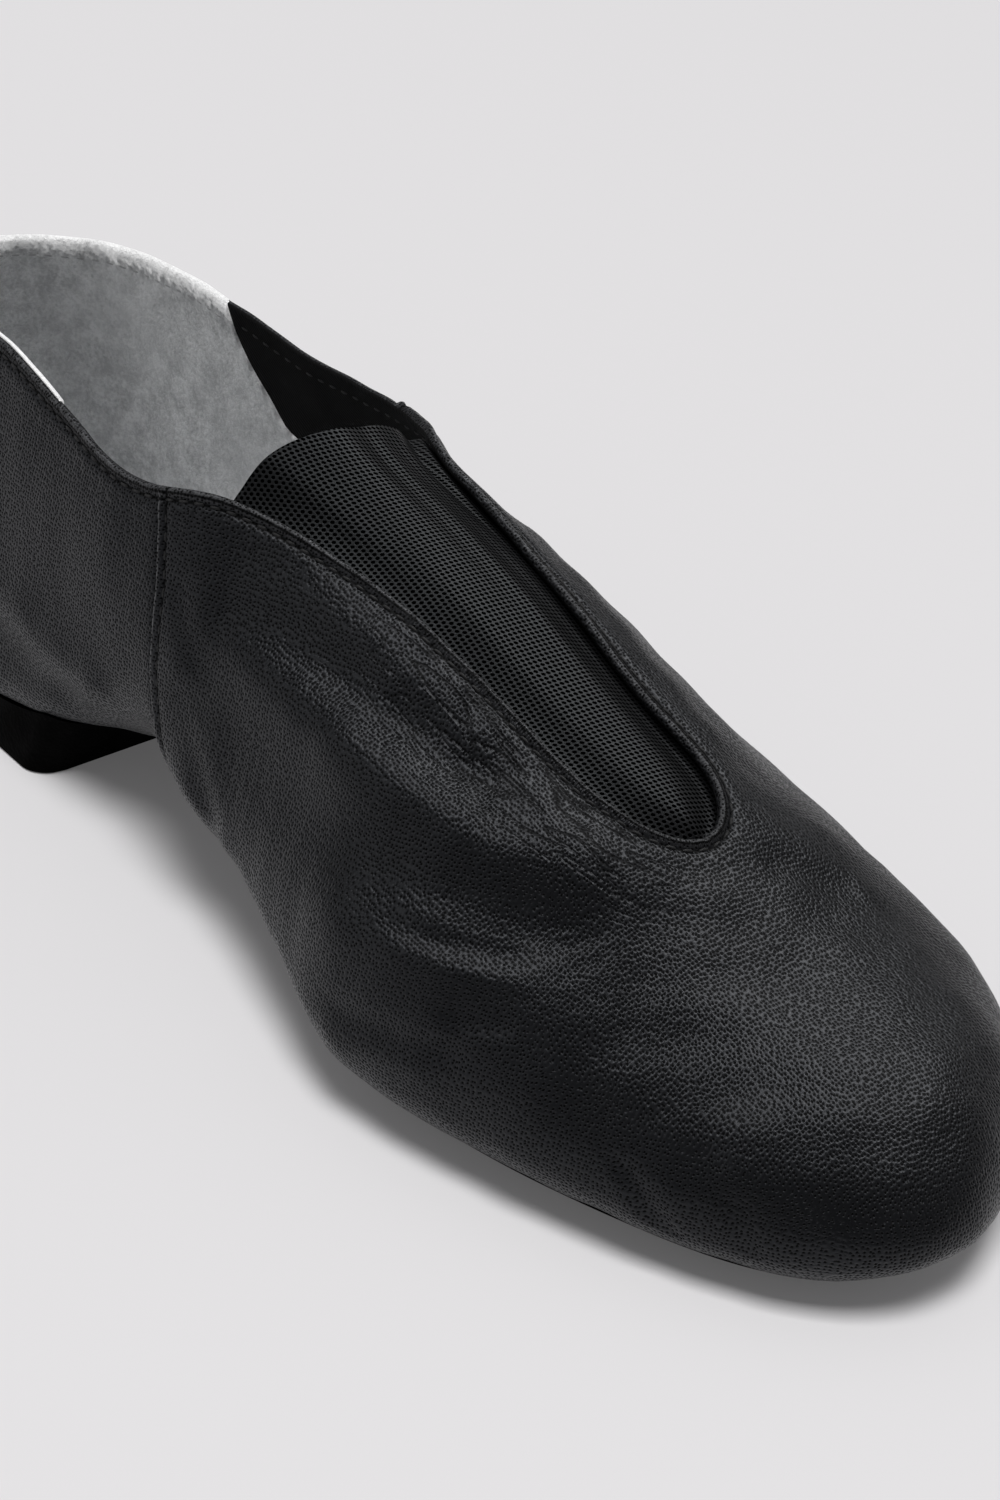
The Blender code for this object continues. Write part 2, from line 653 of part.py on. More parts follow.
def make_pad(root, finish):
    """Rubber pad under the heel, with a leaning breast and rounded lower edges."""
    stations = tips(PAD_INSET + END_CLEARANCE, PAD_FRONT, BLOCK_STATIONS)
    centre = LAST["centre"](stations)
    cut = corner(PAD_FRONT - stations, PAD_CORNER, PAD_CORNER_CUT)
    x, y = strip(stations, centre - cut * plan_half(stations, -1, PAD_INSET),
                 centre + cut * plan_half(stations, 1, PAD_INSET), BLOCK_ACROSS)
    top = np.stack([x, y, under_height(x, y)], -1)
    top += (SEAT_GAP + FACET_SLACK) * normals(top, closed=False)
    lean = BREAST_LEAN * smoothstep((x - HEEL_CENTRE) / (PAD_FRONT - HEEL_CENTRE))
    middle = LAST["centre"](HEEL_CENTRE)

    def lowered(inset, height):
        """Outline of the pad at a lower height, moved in all round."""
        share = 1 - inset / (HEEL_WIDTH / 2)
        low_x = HEEL_CENTRE + (x - lean - HEEL_CENTRE) * share
        return np.stack([low_x, middle + (y - middle) * share, np.full_like(x, height)], -1)

    bottom = lowered(PAD_TAPER + EDGE_ROUND, 0.0)
    skirt = edge_points(lowered(PAD_TAPER, EDGE_ROUND))
    plate("heel_pad", top, bottom, [skirt], np.zeros(3), root, finish)


def clear_scene():
    """Take out every object that the file already holds."""
    for old in list(bpy.data.objects):
        bpy.data.objects.remove(old, do_unlink=True)


def main():
    clear_scene()
    root = bpy.data.objects.new("jazz_shoe", None)
    bpy.context.collection.objects.link(root)
    leather = material("black_leather", (0.012, 0.012, 0.013), 0.42)
    knit = material("black_elastic_knit", (0.010, 0.010, 0.010), 0.80)
    lining = material("grey_suede_insole", (0.22, 0.22, 0.23), 0.95)
    rubber = material("black_rubber", (0.006, 0.006, 0.006), 0.65)
    make_upper(root, leather)
    make_gore(root, knit)
    make_insole(root, lining)
    make_sole(root, rubber)
    make_pad(root, rubber)


main()
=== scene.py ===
# %% [markdown]
# # A slip-on jazz shoe for the right foot
# The shoe is a soft black leather upper with an elastic gore in its throat, a grey suede heel lining,
# a rubber pad under the heel and a separate sole patch under the ball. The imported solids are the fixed
# frame. Each of them is dressed here by a finer piece that follows the same last, the wooden form that
# a shoe is pulled over.

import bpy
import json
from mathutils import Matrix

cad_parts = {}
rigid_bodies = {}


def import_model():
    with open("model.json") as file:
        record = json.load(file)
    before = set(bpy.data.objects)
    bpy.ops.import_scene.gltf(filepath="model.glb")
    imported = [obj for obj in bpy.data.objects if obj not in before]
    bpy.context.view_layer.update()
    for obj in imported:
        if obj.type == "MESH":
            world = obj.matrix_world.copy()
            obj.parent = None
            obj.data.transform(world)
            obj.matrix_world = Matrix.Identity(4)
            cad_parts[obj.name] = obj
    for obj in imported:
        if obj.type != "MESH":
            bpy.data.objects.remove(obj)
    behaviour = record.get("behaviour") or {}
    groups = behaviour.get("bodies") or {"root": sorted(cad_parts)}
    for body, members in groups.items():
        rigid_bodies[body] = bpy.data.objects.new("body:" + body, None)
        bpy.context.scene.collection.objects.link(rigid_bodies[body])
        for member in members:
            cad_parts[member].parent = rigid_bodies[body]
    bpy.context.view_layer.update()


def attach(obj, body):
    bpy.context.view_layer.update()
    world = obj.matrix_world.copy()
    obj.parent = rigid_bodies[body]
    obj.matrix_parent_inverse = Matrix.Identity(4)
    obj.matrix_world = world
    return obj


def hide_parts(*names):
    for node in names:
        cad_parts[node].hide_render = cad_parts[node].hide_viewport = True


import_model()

import json
import math
from collections import namedtuple

import bpy
import numpy as np
from mathutils import Matrix, Vector

MM = 0.001

# %% [markdown]
# ## The camera
# A product photographer stood in front of the outer side and looked down at the shoe with a long lens.
# A camera could be aimed with a constraint, but three turns, for the direction, the height and a small
# roll, put it in place exactly. The lens is long, so the shoe is hardly foreshortened.

# %% Camera at the photograph's viewing angle
CAMERA_PLACE = (0.5278, -0.4231, 0.4160)
CAMERA_AZIMUTH = 44.70
CAMERA_ELEVATION = 32.27
CAMERA_ROLL = 7.72
SENSOR = 36.0
LENS = 113.4


def turned(degrees, axis):
    """Turn about one axis."""
    return Matrix.Rotation(math.radians(degrees), 4, axis)


lens = bpy.data.cameras.new("camera")
lens.sensor_width = SENSOR
lens.lens = LENS
lens.clip_start = 0.05
camera = bpy.data.objects.new("camera", lens)
camera.matrix_world = (Matrix.Translation(CAMERA_PLACE) @ turned(CAMERA_AZIMUTH, "Z")
                       @ turned(90 - CAMERA_ELEVATION, "X") @ turned(CAMERA_ROLL, "Z"))
bpy.context.scene.collection.objects.link(camera)
bpy.context.scene.camera = camera
print("camera:", CAMERA_PLACE, "lens", LENS)

# %% [markdown]
# ## The last
# A shoemaker works from a last: a form with the shoe's length, its ball and heel widths, its instep and
# its collar height. A sculpted mesh could stand for it, but a form that is worked out from a few sizes
# and short tables lets every piece, from the leather to the smallest stitch, find its place on the same
# surface. These are the sizes of the solids, so the leather lies where they are. Side -1 is the outer
# one and side 1 the inner one.

# %% Sizes of the shoe
SHOE_LENGTH = 246 * MM
BALL_WIDTH = 87 * MM
HEEL_WIDTH = 56 * MM
INSTEP_HEIGHT = 72 * MM
COLLAR_HEIGHT = 65 * MM
TOE_HEIGHT = 25 * MM
HEEL_THICKNESS = 8 * MM
SOLE_THICKNESS = 2.4 * MM
ARCH_RISE = 10.8 * MM
TOE_SPRING = 4 * MM
HEEL_CENTRE = 0.1463 * SHOE_LENGTH
SEAT_GAP = 0.5 * MM
UPPER_WALL = 1.15 * MM
LASTING_MARGIN = 17 * MM
THROAT_END = 0.746 * SHOE_LENGTH
THROAT_ROUND = 14 * MM
print("shoe, mm:", round(SHOE_LENGTH / MM), "long,", round(BALL_WIDTH / MM), "wide at the ball")


# %% Half widths of the last, as shares of the width that each row follows
def table(columns, *rows):
    """Rows whose columns have names."""
    Row = namedtuple("Row", columns)
    return [Row(*row) for row in rows]


WIDTHS = table(
    "at follows centre outer inner",
    (0.000, HEEL_WIDTH, 0.000, 0.482, 0.473), (0.120, HEEL_WIDTH, 0.000, 0.482, 0.473),
    (0.250, HEEL_WIDTH, 0.000, 0.511, 0.484), (0.375, HEEL_WIDTH, 0.005, 0.545, 0.496),
    (0.450, HEEL_WIDTH, 0.018, 0.584, 0.554), (0.550, BALL_WIDTH, 0.021, 0.439, 0.416),
    (0.650, BALL_WIDTH, 0.034, 0.532, 0.469), (0.730, BALL_WIDTH, 0.048, 0.526, 0.480),
    (0.830, BALL_WIDTH, 0.071, 0.486, 0.480), (0.930, BALL_WIDTH, 0.069, 0.446, 0.402),
    (1.000, BALL_WIDTH, 0.008, 0.372, 0.330))

# %% Widest line and crown, as shares of the height that each row follows
HEIGHTS = table(
    "at follows level crown",
    (0.000, COLLAR_HEIGHT, 0.400, 1.480), (0.120, COLLAR_HEIGHT, 0.400, 1.480),
    (0.250, COLLAR_HEIGHT, 0.415, 1.423), (0.375, COLLAR_HEIGHT, 0.560, 1.246),
    (0.450, INSTEP_HEIGHT, 0.372, 1.010), (0.550, INSTEP_HEIGHT, 0.292, 0.899),
    (0.650, INSTEP_HEIGHT, 0.218, 0.762), (0.730, INSTEP_HEIGHT, 0.206, 0.654),
    (0.830, TOE_HEIGHT, 0.576, 1.416), (0.930, TOE_HEIGHT, 0.536, 1.188), (1.000, TOE_HEIGHT, 0.548, 1.020))

# %% Underside over the floor: shares of the heel pad, the sole patch, the arch and the toe spring
UNDERSIDE = table(
    "at pad sole arch spring",
    (0.000, 1.0, 0.0, 0.00, 0.0), (0.120, 1.0, 0.0, 0.00, 0.0), (0.250, 1.0, 0.0, 0.11, 0.0),
    (0.375, 0.5, 0.5, 0.95, 0.0), (0.450, 0.2, 0.8, 1.00, 0.0), (0.550, 0.0, 1.0, 0.53, 0.0),
    (0.650, 0.0, 1.0, 0.09, 0.0), (0.730, 0.0, 1.0, 0.00, 0.0), (0.830, 0.0, 1.0, 0.00, 0.03),
    (0.930, 0.0, 1.0, 0.00, 0.2), (1.000, 0.0, 1.0, 0.00, 1.0))

# %% Powers of the section over and under its widest line: 2 is an ellipse, more is squarer
ROUNDNESS = table(
    "at over_y over_z under_y under_z",
    (0.000, 2.20, 2.0, 10.0, 5.5), (0.120, 2.20, 2.0, 10.0, 5.5), (0.250, 2.20, 2.0, 9.0, 5.0),
    (0.375, 2.30, 2.0, 2.8, 2.1), (0.450, 2.30, 2.0, 2.3, 2.0), (0.550, 2.20, 2.0, 2.5, 2.0),
    (0.650, 2.20, 2.0, 3.6, 2.3), (0.730, 2.15, 2.0, 4.0, 2.4), (0.930, 2.15, 2.0, 3.8, 2.4),
    (1.000, 2.10, 2.0, 3.6, 2.3))

# %% Topline at the collar and in plan along the throat, and the openings under the foot
COLLAR = {-1: table("at height", (0.0, 0.930), (0.08, 1.000), (0.2, 1.060), (0.29, 1.002), (0.365, 1.000)),
          1: table("at height", (0.0, 0.930), (0.08, 0.966), (0.2, 1.008), (0.29, 1.002), (0.365, 1.034))}
THROAT = table(
    "at axis half",
    (0.400, -0.010, 0.235), (0.440, -0.012, 0.190), (0.480, -0.006, 0.165), (0.540, 0.007, 0.145),
    (0.600, 0.016, 0.129), (0.660, 0.027, 0.118), (0.710, 0.046, 0.114), (0.748, 0.057, 0.112))
SEATS = table("at open", (0.14, 1.0), (0.29, 0.0), (0.57, 0.0), (0.74, 1.0))
BUTT_SEAM = 0.6 * MM

# %% Rounding of the heel and the toe, as shares of the widths
HEEL_ROUND = 0.55 * HEEL_WIDTH
TOE_ROUND = 0.71 * BALL_WIDTH
HEEL_CROWN_ROUND = 0.64 * HEEL_WIDTH
TOE_CROWN_ROUND = 0.28 * BALL_WIDTH
HEEL_UNDER_ROUND = 0.16 * HEEL_WIDTH
TOE_UNDER_ROUND = 0.16 * BALL_WIDTH
HEEL_POWER = 2.1
TOE_POWER = 2.3
CROWN_POWER = 2.0
ANKLE_FROM = 0.29 * SHOE_LENGTH
ANKLE_TO = 0.44 * SHOE_LENGTH

# %% Curves through the tables
CURVE_SAMPLES = 2401


def smoothstep(t):
    """Ease from 0 to 1."""
    t = np.clip(t, 0.0, 1.0)
    return t * t * (3.0 - 2.0 * t)


def spline(at, values):
    """Natural cubic curve through the values, kept as fine samples."""
    at, values = np.asarray(at, float), np.asarray(values, float)
    step = np.diff(at)
    slope = np.diff(values) / step
    matrix = np.eye(len(at))
    target = np.zeros(len(at))
    for i in range(1, len(at) - 1):
        matrix[i, i - 1:i + 2] = step[i - 1], 2 * (step[i - 1] + step[i]), step[i]
        target[i] = 6 * (slope[i] - slope[i - 1])
    bend = np.linalg.solve(matrix, target)
    fine = np.linspace(at[0], at[-1], CURVE_SAMPLES)
    i = np.clip(np.searchsorted(at, fine) - 1, 0, len(at) - 2)
    made = sum(bend[k] * part ** 3 / (6 * step[i]) + (values[k] / step[i] - bend[k] * step[i] / 6) * part
               for k, part in ((i, at[i + 1] - fine), (i + 1, fine - at[i])))
    return lambda x: np.interp(x, fine, made)


def over_length(rows, value):
    """Curve over the shoe's length through one column of a table."""
    return spline([row.at * SHOE_LENGTH for row in rows], [value(row) for row in rows])


LAST = {name: over_length(rows, lambda row: getattr(row, name) * getattr(row, "follows", 1.0))
        for rows in (WIDTHS, HEIGHTS, ROUNDNESS) for name in rows[0]._fields if name not in ("at", "follows")}
LAST["under"] = over_length(UNDERSIDE, lambda row: SEAT_GAP + row.pad * HEEL_THICKNESS
                            + row.sole * SOLE_THICKNESS + row.arch * ARCH_RISE + row.spring * TOE_SPRING)
collar_line = {side: over_length(rows, lambda row: row.height * COLLAR_HEIGHT)
               for side, rows in COLLAR.items()}
throat_axis = over_length(THROAT, lambda row: row.axis * BALL_WIDTH)
throat_side = over_length(THROAT, lambda row: row.half * BALL_WIDTH)
print("curves of the last:", ", ".join(LAST))


# %% Sections of the last
def rounding(x, heel_round, toe_round, heel_power, toe_power, inset=0.0):
    """Share that is left of a half width or a height towards the heel's and the toe's tips."""
    heel = np.clip(1 - (x - inset) / (heel_round - inset), 0, 1)
    toe = np.clip(1 - (SHOE_LENGTH - inset - x) / (toe_round - inset), 0, 1)
    return (1 - heel ** heel_power) ** (1 / heel_power) * (1 - toe ** toe_power) ** (1 / toe_power)


def plan_half(x, side, inset=0.0):
    """Half width of the last in plan, or of its outline moved in all round by an inset."""
    full = np.where(np.asarray(side) < 0, LAST["outer"](x), LAST["inner"](x))
    return (full - inset) * rounding(x, HEEL_ROUND, TOE_ROUND, HEEL_POWER, TOE_POWER, inset)


def section(x, side):
    """Every measure of the last's section at x, on the outer (-1) or the inner (+1) side."""
    x = np.clip(x, 0.0, SHOE_LENGTH)
    s = {name: curve(x) for name, curve in LAST.items()}
    s["half"] = np.maximum(plan_half(x, side), 1e-6)
    over = rounding(x, HEEL_CROWN_ROUND, TOE_CROWN_ROUND, CROWN_POWER, CROWN_POWER)
    below = rounding(x, HEEL_UNDER_ROUND, TOE_UNDER_ROUND, CROWN_POWER, CROWN_POWER)
    s["rise"] = np.maximum((s["crown"] - s["level"]) * over, 1e-6)
    s["drop"] = np.maximum((s["level"] - s["under"]) * below, 1e-6)
    return s


def half_section(s, over):
    """Height and both powers of a section, over or under its widest line."""
    return [np.where(over, s[above], s[below])
            for above, below in (("rise", "drop"), ("over_y", "under_y"), ("over_z", "under_z"))]


def side_of(x, y):
    """Outer side -1 or inner side +1 of the last's centre line."""
    return np.where(y < LAST["centre"](x), -1, 1)


def outside(points):
    """Below 0 inside the last, above 0 outside it."""
    x, y, z = np.moveaxis(points, -1, 0)
    s = section(x, side_of(x, y))
    height, power_y, power_z = half_section(s, z > s["level"])
    across = np.abs(y - s["centre"]) / s["half"]
    value = across ** power_y + (np.abs(z - s["level"]) / height) ** power_z - 1
    return np.where((x < 0) | (x > SHOE_LENGTH), 1.0, value)


def last_height(x, y, over):
    """Height of the last's upper side, or of its underside, over a point in plan."""
    s = section(x, side_of(x, y))
    height, power_y, power_z = half_section(s, over)
    across = np.clip(np.abs(y - s["centre"]) / s["half"], 0, 1)
    return s["level"] + (height if over else -height) * (1 - across ** power_y) ** (1 / power_z)


# %% Openings: the collar, the ankle, the throat and the seats
def throat_half(x):
    """Half width of the throat, closing in a round end."""
    past = np.clip((x - (THROAT_END - THROAT_ROUND)) / THROAT_ROUND, 0, 1)
    return throat_side(x) * np.sqrt(1 - past ** 2)


def edge_angle(side):
    """Curve of the topline's angle over the widest line, from the rows on both sides of the ankle."""
    at = [row.at * SHOE_LENGTH for row in COLLAR[side][3:] + THROAT[:3]]
    angles = []
    for x, row in zip(at, COLLAR[side][3:]):
        s = section(x, side)
        rise = row.height * COLLAR_HEIGHT - s["level"]
        half = s["half"] * (1 - (rise / s["rise"]) ** s["over_z"]) ** (1 / s["over_y"])
        angles.append(math.atan2(rise, half))
    for x, row in zip(at[2:], THROAT[:3]):
        y = (row.axis + side * row.half) * BALL_WIDTH
        angles.append(math.atan2(last_height(x, y, True) - LAST["level"](x), abs(y - LAST["centre"](x))))
    return spline(at, angles)


EDGE_ANGLE = {side: edge_angle(side) for side in (-1, 1)}


def top_opening(points):
    """Above 0 where the collar and the throat leave the last open."""
    x, y, z = np.moveaxis(points, -1, 0)
    across = y - LAST["centre"](x)
    over = z - LAST["level"](x)
    ankle = np.arctan2(over, np.abs(across)) - np.where(across < 0, EDGE_ANGLE[-1](x), EDGE_ANGLE[1](x))
    throat = throat_half(x) - np.abs(y - throat_axis(x)) - np.maximum(x - THROAT_END, 0)
    throat = np.where(over > 0, throat, -1.0)
    collar = np.where(across < 0, collar_line[-1](x), collar_line[1](x))
    return np.where(x < ANKLE_FROM, z - collar, np.where(x < ANKLE_TO, ankle, throat))


def seat_opening(points):
    """Above 0 where the upper is open underneath, inside its lasting margin."""
    x, y, z = np.moveaxis(points, -1, 0)
    across = y - LAST["centre"](x)
    share = smoothstep(np.interp(x, [row.at * SHOE_LENGTH for row in SEATS], [row.open for row in SEATS]))
    half = BUTT_SEAM / 2 + share * plan_half(x, np.where(across < 0, -1, 1), LASTING_MARGIN)
    past = np.maximum(LASTING_MARGIN - x, 0) + np.maximum(x - SHOE_LENGTH + LASTING_MARGIN, 0)
    return np.where(z < LAST["level"](x), half - np.abs(across) - past, -1.0)


print("throat ends at, mm:", round(THROAT_END / MM, 1))


# %% [markdown]
# ## A fine net over the last
# The leather could be a subdivided cage, but its seams and rolled edges have to lie on exact lines. So a
# net is cast onto the last: columns stand round the shoe, lean with the side seams, and run from the
# topline down and round to the margin under the foot. Fans of columns turn round the heel and the toe.

# %% Columns of the net
Column = namedtuple("Column", "foot way side ahead")
FAN_COLUMNS = 46
SIDE_STEP = 1.05 * MM
TOE_FAN_FOOT = THROAT_END - THROAT_ROUND / 2
SEAM_AT = {-1: 0.369 * SHOE_LENGTH, 1: 0.372 * SHOE_LENGTH}
SEAM_REACH = 0.19 * SHOE_LENGTH
SEAM_LEAN = 0.38
SEAM_SWAY = 3.0 * MM
SEAM_SWAY_LENGTH = 44 * MM
FOLD_STATIONS = np.array([-0.9, -0.45, -0.2, 0.0, 0.2, 0.45, 0.9, 1.3, 1.6, 1.9, 2.4, 3.2]) * MM


def columns():
    """Foot of each column in plan, its direction, its side and its place ahead of the seam."""
    rows = []
    turns = [math.pi / 2 * i / FAN_COLUMNS for i in range(FAN_COLUMNS + 1)]
    for side in (-1, 1):
        fold = SEAM_AT[side] + FOLD_STATIONS
        behind, before = [np.linspace(first, last, round((last - first) / SIDE_STEP) + 1)
                          for first, last in ((HEEL_ROUND, fold[0]), (fold[-1], TOE_FAN_FOOT))]
        half = [(HEEL_ROUND, (-math.cos(t), side * math.sin(t))) for t in turns[:-1]]
        half += [(x, (0.0, side)) for x in np.concatenate([behind, fold[1:-1], before])]
        half += [(TOE_FAN_FOOT, (math.sin(t), side * math.cos(t))) for t in turns[1:]]
        half = [Column(foot, way, side, foot - SEAM_AT[side]) for foot, way in half]
        rows += half if side < 0 else half[1:-1][::-1]
    return rows


NET = columns()
AHEAD = np.array([column.ahead for column in NET])[:, None]
print("columns round the shoe:", len(NET))

# %% Cast the columns onto the last
PROFILE_STEPS = 301
HALVINGS = 34


def farthest(holds, reach):
    """Farthest distances, up to a reach, at which something holds, found by halving."""
    low, high = np.zeros_like(reach), reach
    for _ in range(HALVINGS):
        middle = (low + high) / 2
        held = holds(middle)
        low, high = np.where(held, middle, low), np.where(held, high, middle)
    return low


def cast(net):
    """Profiles of the last along the columns, from straight up to straight down."""
    angles = math.pi * (0.5 - (np.arange(PROFILE_STEPS) + 0.5) / PROFILE_STEPS)
    foot_x = np.array([column.foot for column in net])
    way = np.array([column.way for column in net])
    foot = np.stack([foot_x, LAST["centre"](foot_x), LAST["level"](foot_x)], -1)[:, None, :]
    ray = np.empty((len(net), PROFILE_STEPS, 3))
    ray[..., :2] = np.cos(angles)[None, :, None] * way[:, None, :]
    ray[..., 2] = np.sin(angles)
    lean = np.clip(1 - (AHEAD / SEAM_REACH) ** 2, 0, 1) ** 2 * SEAM_LEAN

    def along(reach):
        points = foot + reach[..., None] * ray
        straight = LAST["centre"](points[..., 0])
        below = np.maximum(COLLAR_HEIGHT - points[..., 2], 0)
        points[..., 0] += lean * (below + SEAM_SWAY * np.sin(2 * math.pi * below / SEAM_SWAY_LENGTH))
        points[..., 1] += LAST["centre"](points[..., 0]) - straight
        return points

    return along(farthest(lambda reach: outside(along(reach)) < 0, np.full(ray.shape[:2], SHOE_LENGTH)))


def crossing(line, values, i):
    """Point between the i-th and the next of a line where the values pass 0."""
    return line[i] + values[i] / (values[i] - values[i + 1]) * (line[i + 1] - line[i])


def trimmed(profile, top, seat):
    """Stretch of one profile between the topline and the edge of the lasting margin."""
    first = np.nonzero(top > 0)[0][-1]
    after = np.nonzero((seat > 0) & (np.arange(len(seat)) > first))[0][0]
    start, stop = crossing(profile, top, first), crossing(profile, seat, after - 1)
    return np.vstack([start, profile[first + 1:after], stop])


def run_of(line):
    """Distance from the start of a line of points to each of them."""
    return np.r_[0, np.cumsum(np.linalg.norm(np.diff(line, axis=0), axis=1))]


profiles = cast(NET)
LINES = [trimmed(*parts) for parts in zip(profiles, top_opening(profiles), seat_opening(profiles))]
LENGTHS = np.array([run_of(line)[-1] for line in LINES])
print("leather from topline to margin, mm:", round(LENGTHS.min() / MM), "to", round(LENGTHS.max() / MM))


def between(at, run, values):
    """Points or directions at places along a line, from the ones that it has at its own run."""
    return np.stack([np.interp(at, run, values[:, axis]) for axis in range(3)], -1)


def resample(line, distances):
    """Points of a line at the given distances along it; below 0 they go on straight past its start."""
    start = (line[0] - line[3]) / np.linalg.norm(line[0] - line[3])
    return between(distances, run_of(line), line) + np.maximum(-np.asarray(distances), 0)[:, None] * start


def normals(grid, closed):
    """Unit normals of a grid of points, whose columns run round the shoe when it is closed."""
    across = np.roll(grid, -1, axis=0) - np.roll(grid, 1, axis=0) if closed else np.gradient(grid, axis=0)
    normal = np.cross(np.gradient(grid, axis=1), across)
    return normal / np.maximum(np.linalg.norm(normal, axis=-1, keepdims=True), 1e-12)


# %% [markdown]
# ## Folds and creases
# Soft leather that is pulled over a last and worn a little keeps long soft folds: a ridge along the
# throat, a deep hollow from the seam to the ball, short creases where the toes bend and small pleats at
# the hem. Noise alone looks like putty, so the main folds are drawn one by one. Each is a line of points on
# one side, given by a share of the length and a turn in degrees over the widest line, with its own
# height and width. Below 0 it is a trough.

# %% Table of the folds
FOLDS = table(
    "name side height width points",
    ("throat_ridge", -1, 0.9, 4.5, ((.47, 58), (.506, 63), (.553, 65), (.601, 65), (.640, 65), (.683, 63),
                                    (.718, 62), (.752, 68))),
    ("throat_hollow", -1, -1.5, 4.5, ((.425, 44), (.500, 51), (.557, 53), (.601, 55), (.645, 57),
                                     (.685, 57))),
    ("vamp_ridge", -1, 1.6, 6.0, ((.440, 38), (.494, 43), (.579, 44), (.654, 46), (.701, 49), (.733, 55),
                                  (.774, 62))),
    ("vamp_hollow", -1, -1.6, 8.0, ((.445, 18), (.528, 23), (.613, 30), (.659, 34), (.699, 36), (.749, 38),
                                    (.784, 45))),
    ("side_ridge", -1, 0.9, 5.5, ((.590, 14), (.661, 21), (.709, 25), (.751, 29), (.790, 34))),
    ("ball_crease", -1, -0.6, 1.9, ((.655, 25), (.680, 26), (.701, 27), (.729, 30), (.756, 34))),
    ("ball_crease_lip", -1, 0.3, 2.0, ((.660, 21), (.701, 23), (.735, 26), (.758, 30))),
    ("low_crease", -1, -0.6, 2.3, ((.633, 3), (.672, 6), (.703, 8), (.729, 10), (.754, 12))),
    ("low_crease_lip", -1, 0.3, 2.5, ((.640, -2), (.675, 1), (.705, 3), (.740, 5))),
    ("toe_crease", -1, -0.5, 1.6, ((.725, 16), (.749, 18), (.768, 21))),
    ("arch_fold", -1, -0.45, 3.2, ((.430, 24), (.446, 13), (.470, 4), (.499, -5))),
    ("arch_fold_lip", -1, 0.3, 3.2, ((.455, 24), (.470, 14), (.492, 5), (.515, -3))),
    ("seam_pull", -1, -0.5, 2.5, ((.405, 40), (.425, 33), (.450, 28))),
    ("toe_side", -1, -0.5, 7.0, ((.790, 14), (.852, 14), (.903, 20))),
    ("hem_pleat_1", -1, -0.95, 1.1, ((.850, 8), (.868, 2), (.884, -6))),
    ("hem_pleat_2", -1, -0.55, 1.3, ((.910, 12), (.925, 4), (.932, -6))),
    ("hem_pleat_3", -1, -0.6, 0.9, ((.868, 6), (.882, 0), (.893, -7))),
    ("quarter_ridge", -1, 1.0, 5.0, ((.150, 20), (.241, 9), (.287, -4), (.331, -13), (.360, -20))),
    ("quarter_hollow", -1, -0.9, 4.5, ((.180, 4), (.243, -7), (.298, -18), (.335, -30))),
    ("inner_throat_ridge", 1, 0.6, 4.0, ((.480, 62), (.560, 64), (.640, 66), (.720, 66))),
    ("inner_hollow", 1, -1.1, 8.0, ((.440, 30), (.520, 34), (.610, 40), (.690, 46), (.760, 52))),
    ("inner_ball_crease", 1, -0.6, 2.4, ((.660, 10), (.700, 16), (.735, 22), (.770, 30))),
    ("inner_low_crease", 1, -0.5, 2.2, ((.690, 2), (.730, 5), (.770, 10))),
    ("inner_arch_fold", 1, -0.9, 4.0, ((.420, 20), (.460, 6), (.500, -6))),
    ("inner_quarter_fold", 1, 0.8, 5.0, ((.180, 18), (.250, 6), (.310, -6))),
    ("crown_crease", 1, -0.35, 3.0, ((.765, 78), (.790, 60), (.800, 45))))
FOLD_SAMPLES = 60
FOLD_FADE = 0.18
FOLD_REACH = 3.2


def on_last(at, turn, side):
    """Point of the last at a share of the length and a turn over its widest line."""
    x = at * SHOE_LENGTH
    turn = np.radians(turn)
    s = section(x, side)
    height, power_y, power_z = half_section(s, turn > 0)
    reach = farthest(lambda reach: (reach * np.cos(turn) / s["half"]) ** power_y
                     + (np.abs(reach * np.sin(turn)) / height) ** power_z < 1, np.full_like(x, BALL_WIDTH))
    return np.stack([x, s["centre"] + side * reach * np.cos(turn), s["level"] + reach * np.sin(turn)], -1)


def folded(points):
    """Height of all the folds at the given points. Each fold fades at both ends."""
    height = np.zeros(points.shape[:-1])
    fine = np.linspace(0, 1, FOLD_SAMPLES)
    strength = smoothstep(fine / FOLD_FADE) * smoothstep((1 - fine) / FOLD_FADE)
    for fold in FOLDS:
        given = np.linspace(0, 1, len(fold.points))
        at, turn = [spline(given, column)(fine) for column in zip(*fold.points)]
        line = on_last(at, turn, fold.side)
        reach = FOLD_REACH * fold.width * MM
        within = ((points > line.min(0) - reach) & (points < line.max(0) + reach)).all(-1)
        apart = np.linalg.norm(points[within][:, None, :] - line[None], axis=-1)
        shape = np.exp(-(apart.min(1) / (fold.width * MM)) ** 2)
        height[within] += fold.height * MM * shape * strength[apart.argmin(1)]
    return height


print("folds drawn:", len(FOLDS))


# %% Small waves of the leather
WAVES = table("x y z height", (310, 120, 90, 0.10), (-140, 260, 210, 0.09), (90, -330, 280, 0.08),
              (520, 340, -180, 0.05), (-430, 210, 560, 0.045), (700, -520, 330, 0.03))
WRINKLES_AT = 0.66
WRINKLES_LENGTH = 0.085
WRINKLES_REACH = 13 * MM


def wavy(points):
    """A slight unevenness that keeps the highlights from running too straight."""
    x, y, z = np.moveaxis(points, -1, 0)
    return sum(w.height * MM * np.sin(w.x * x + w.y * y + w.z * z + i) for i, w in enumerate(WAVES))


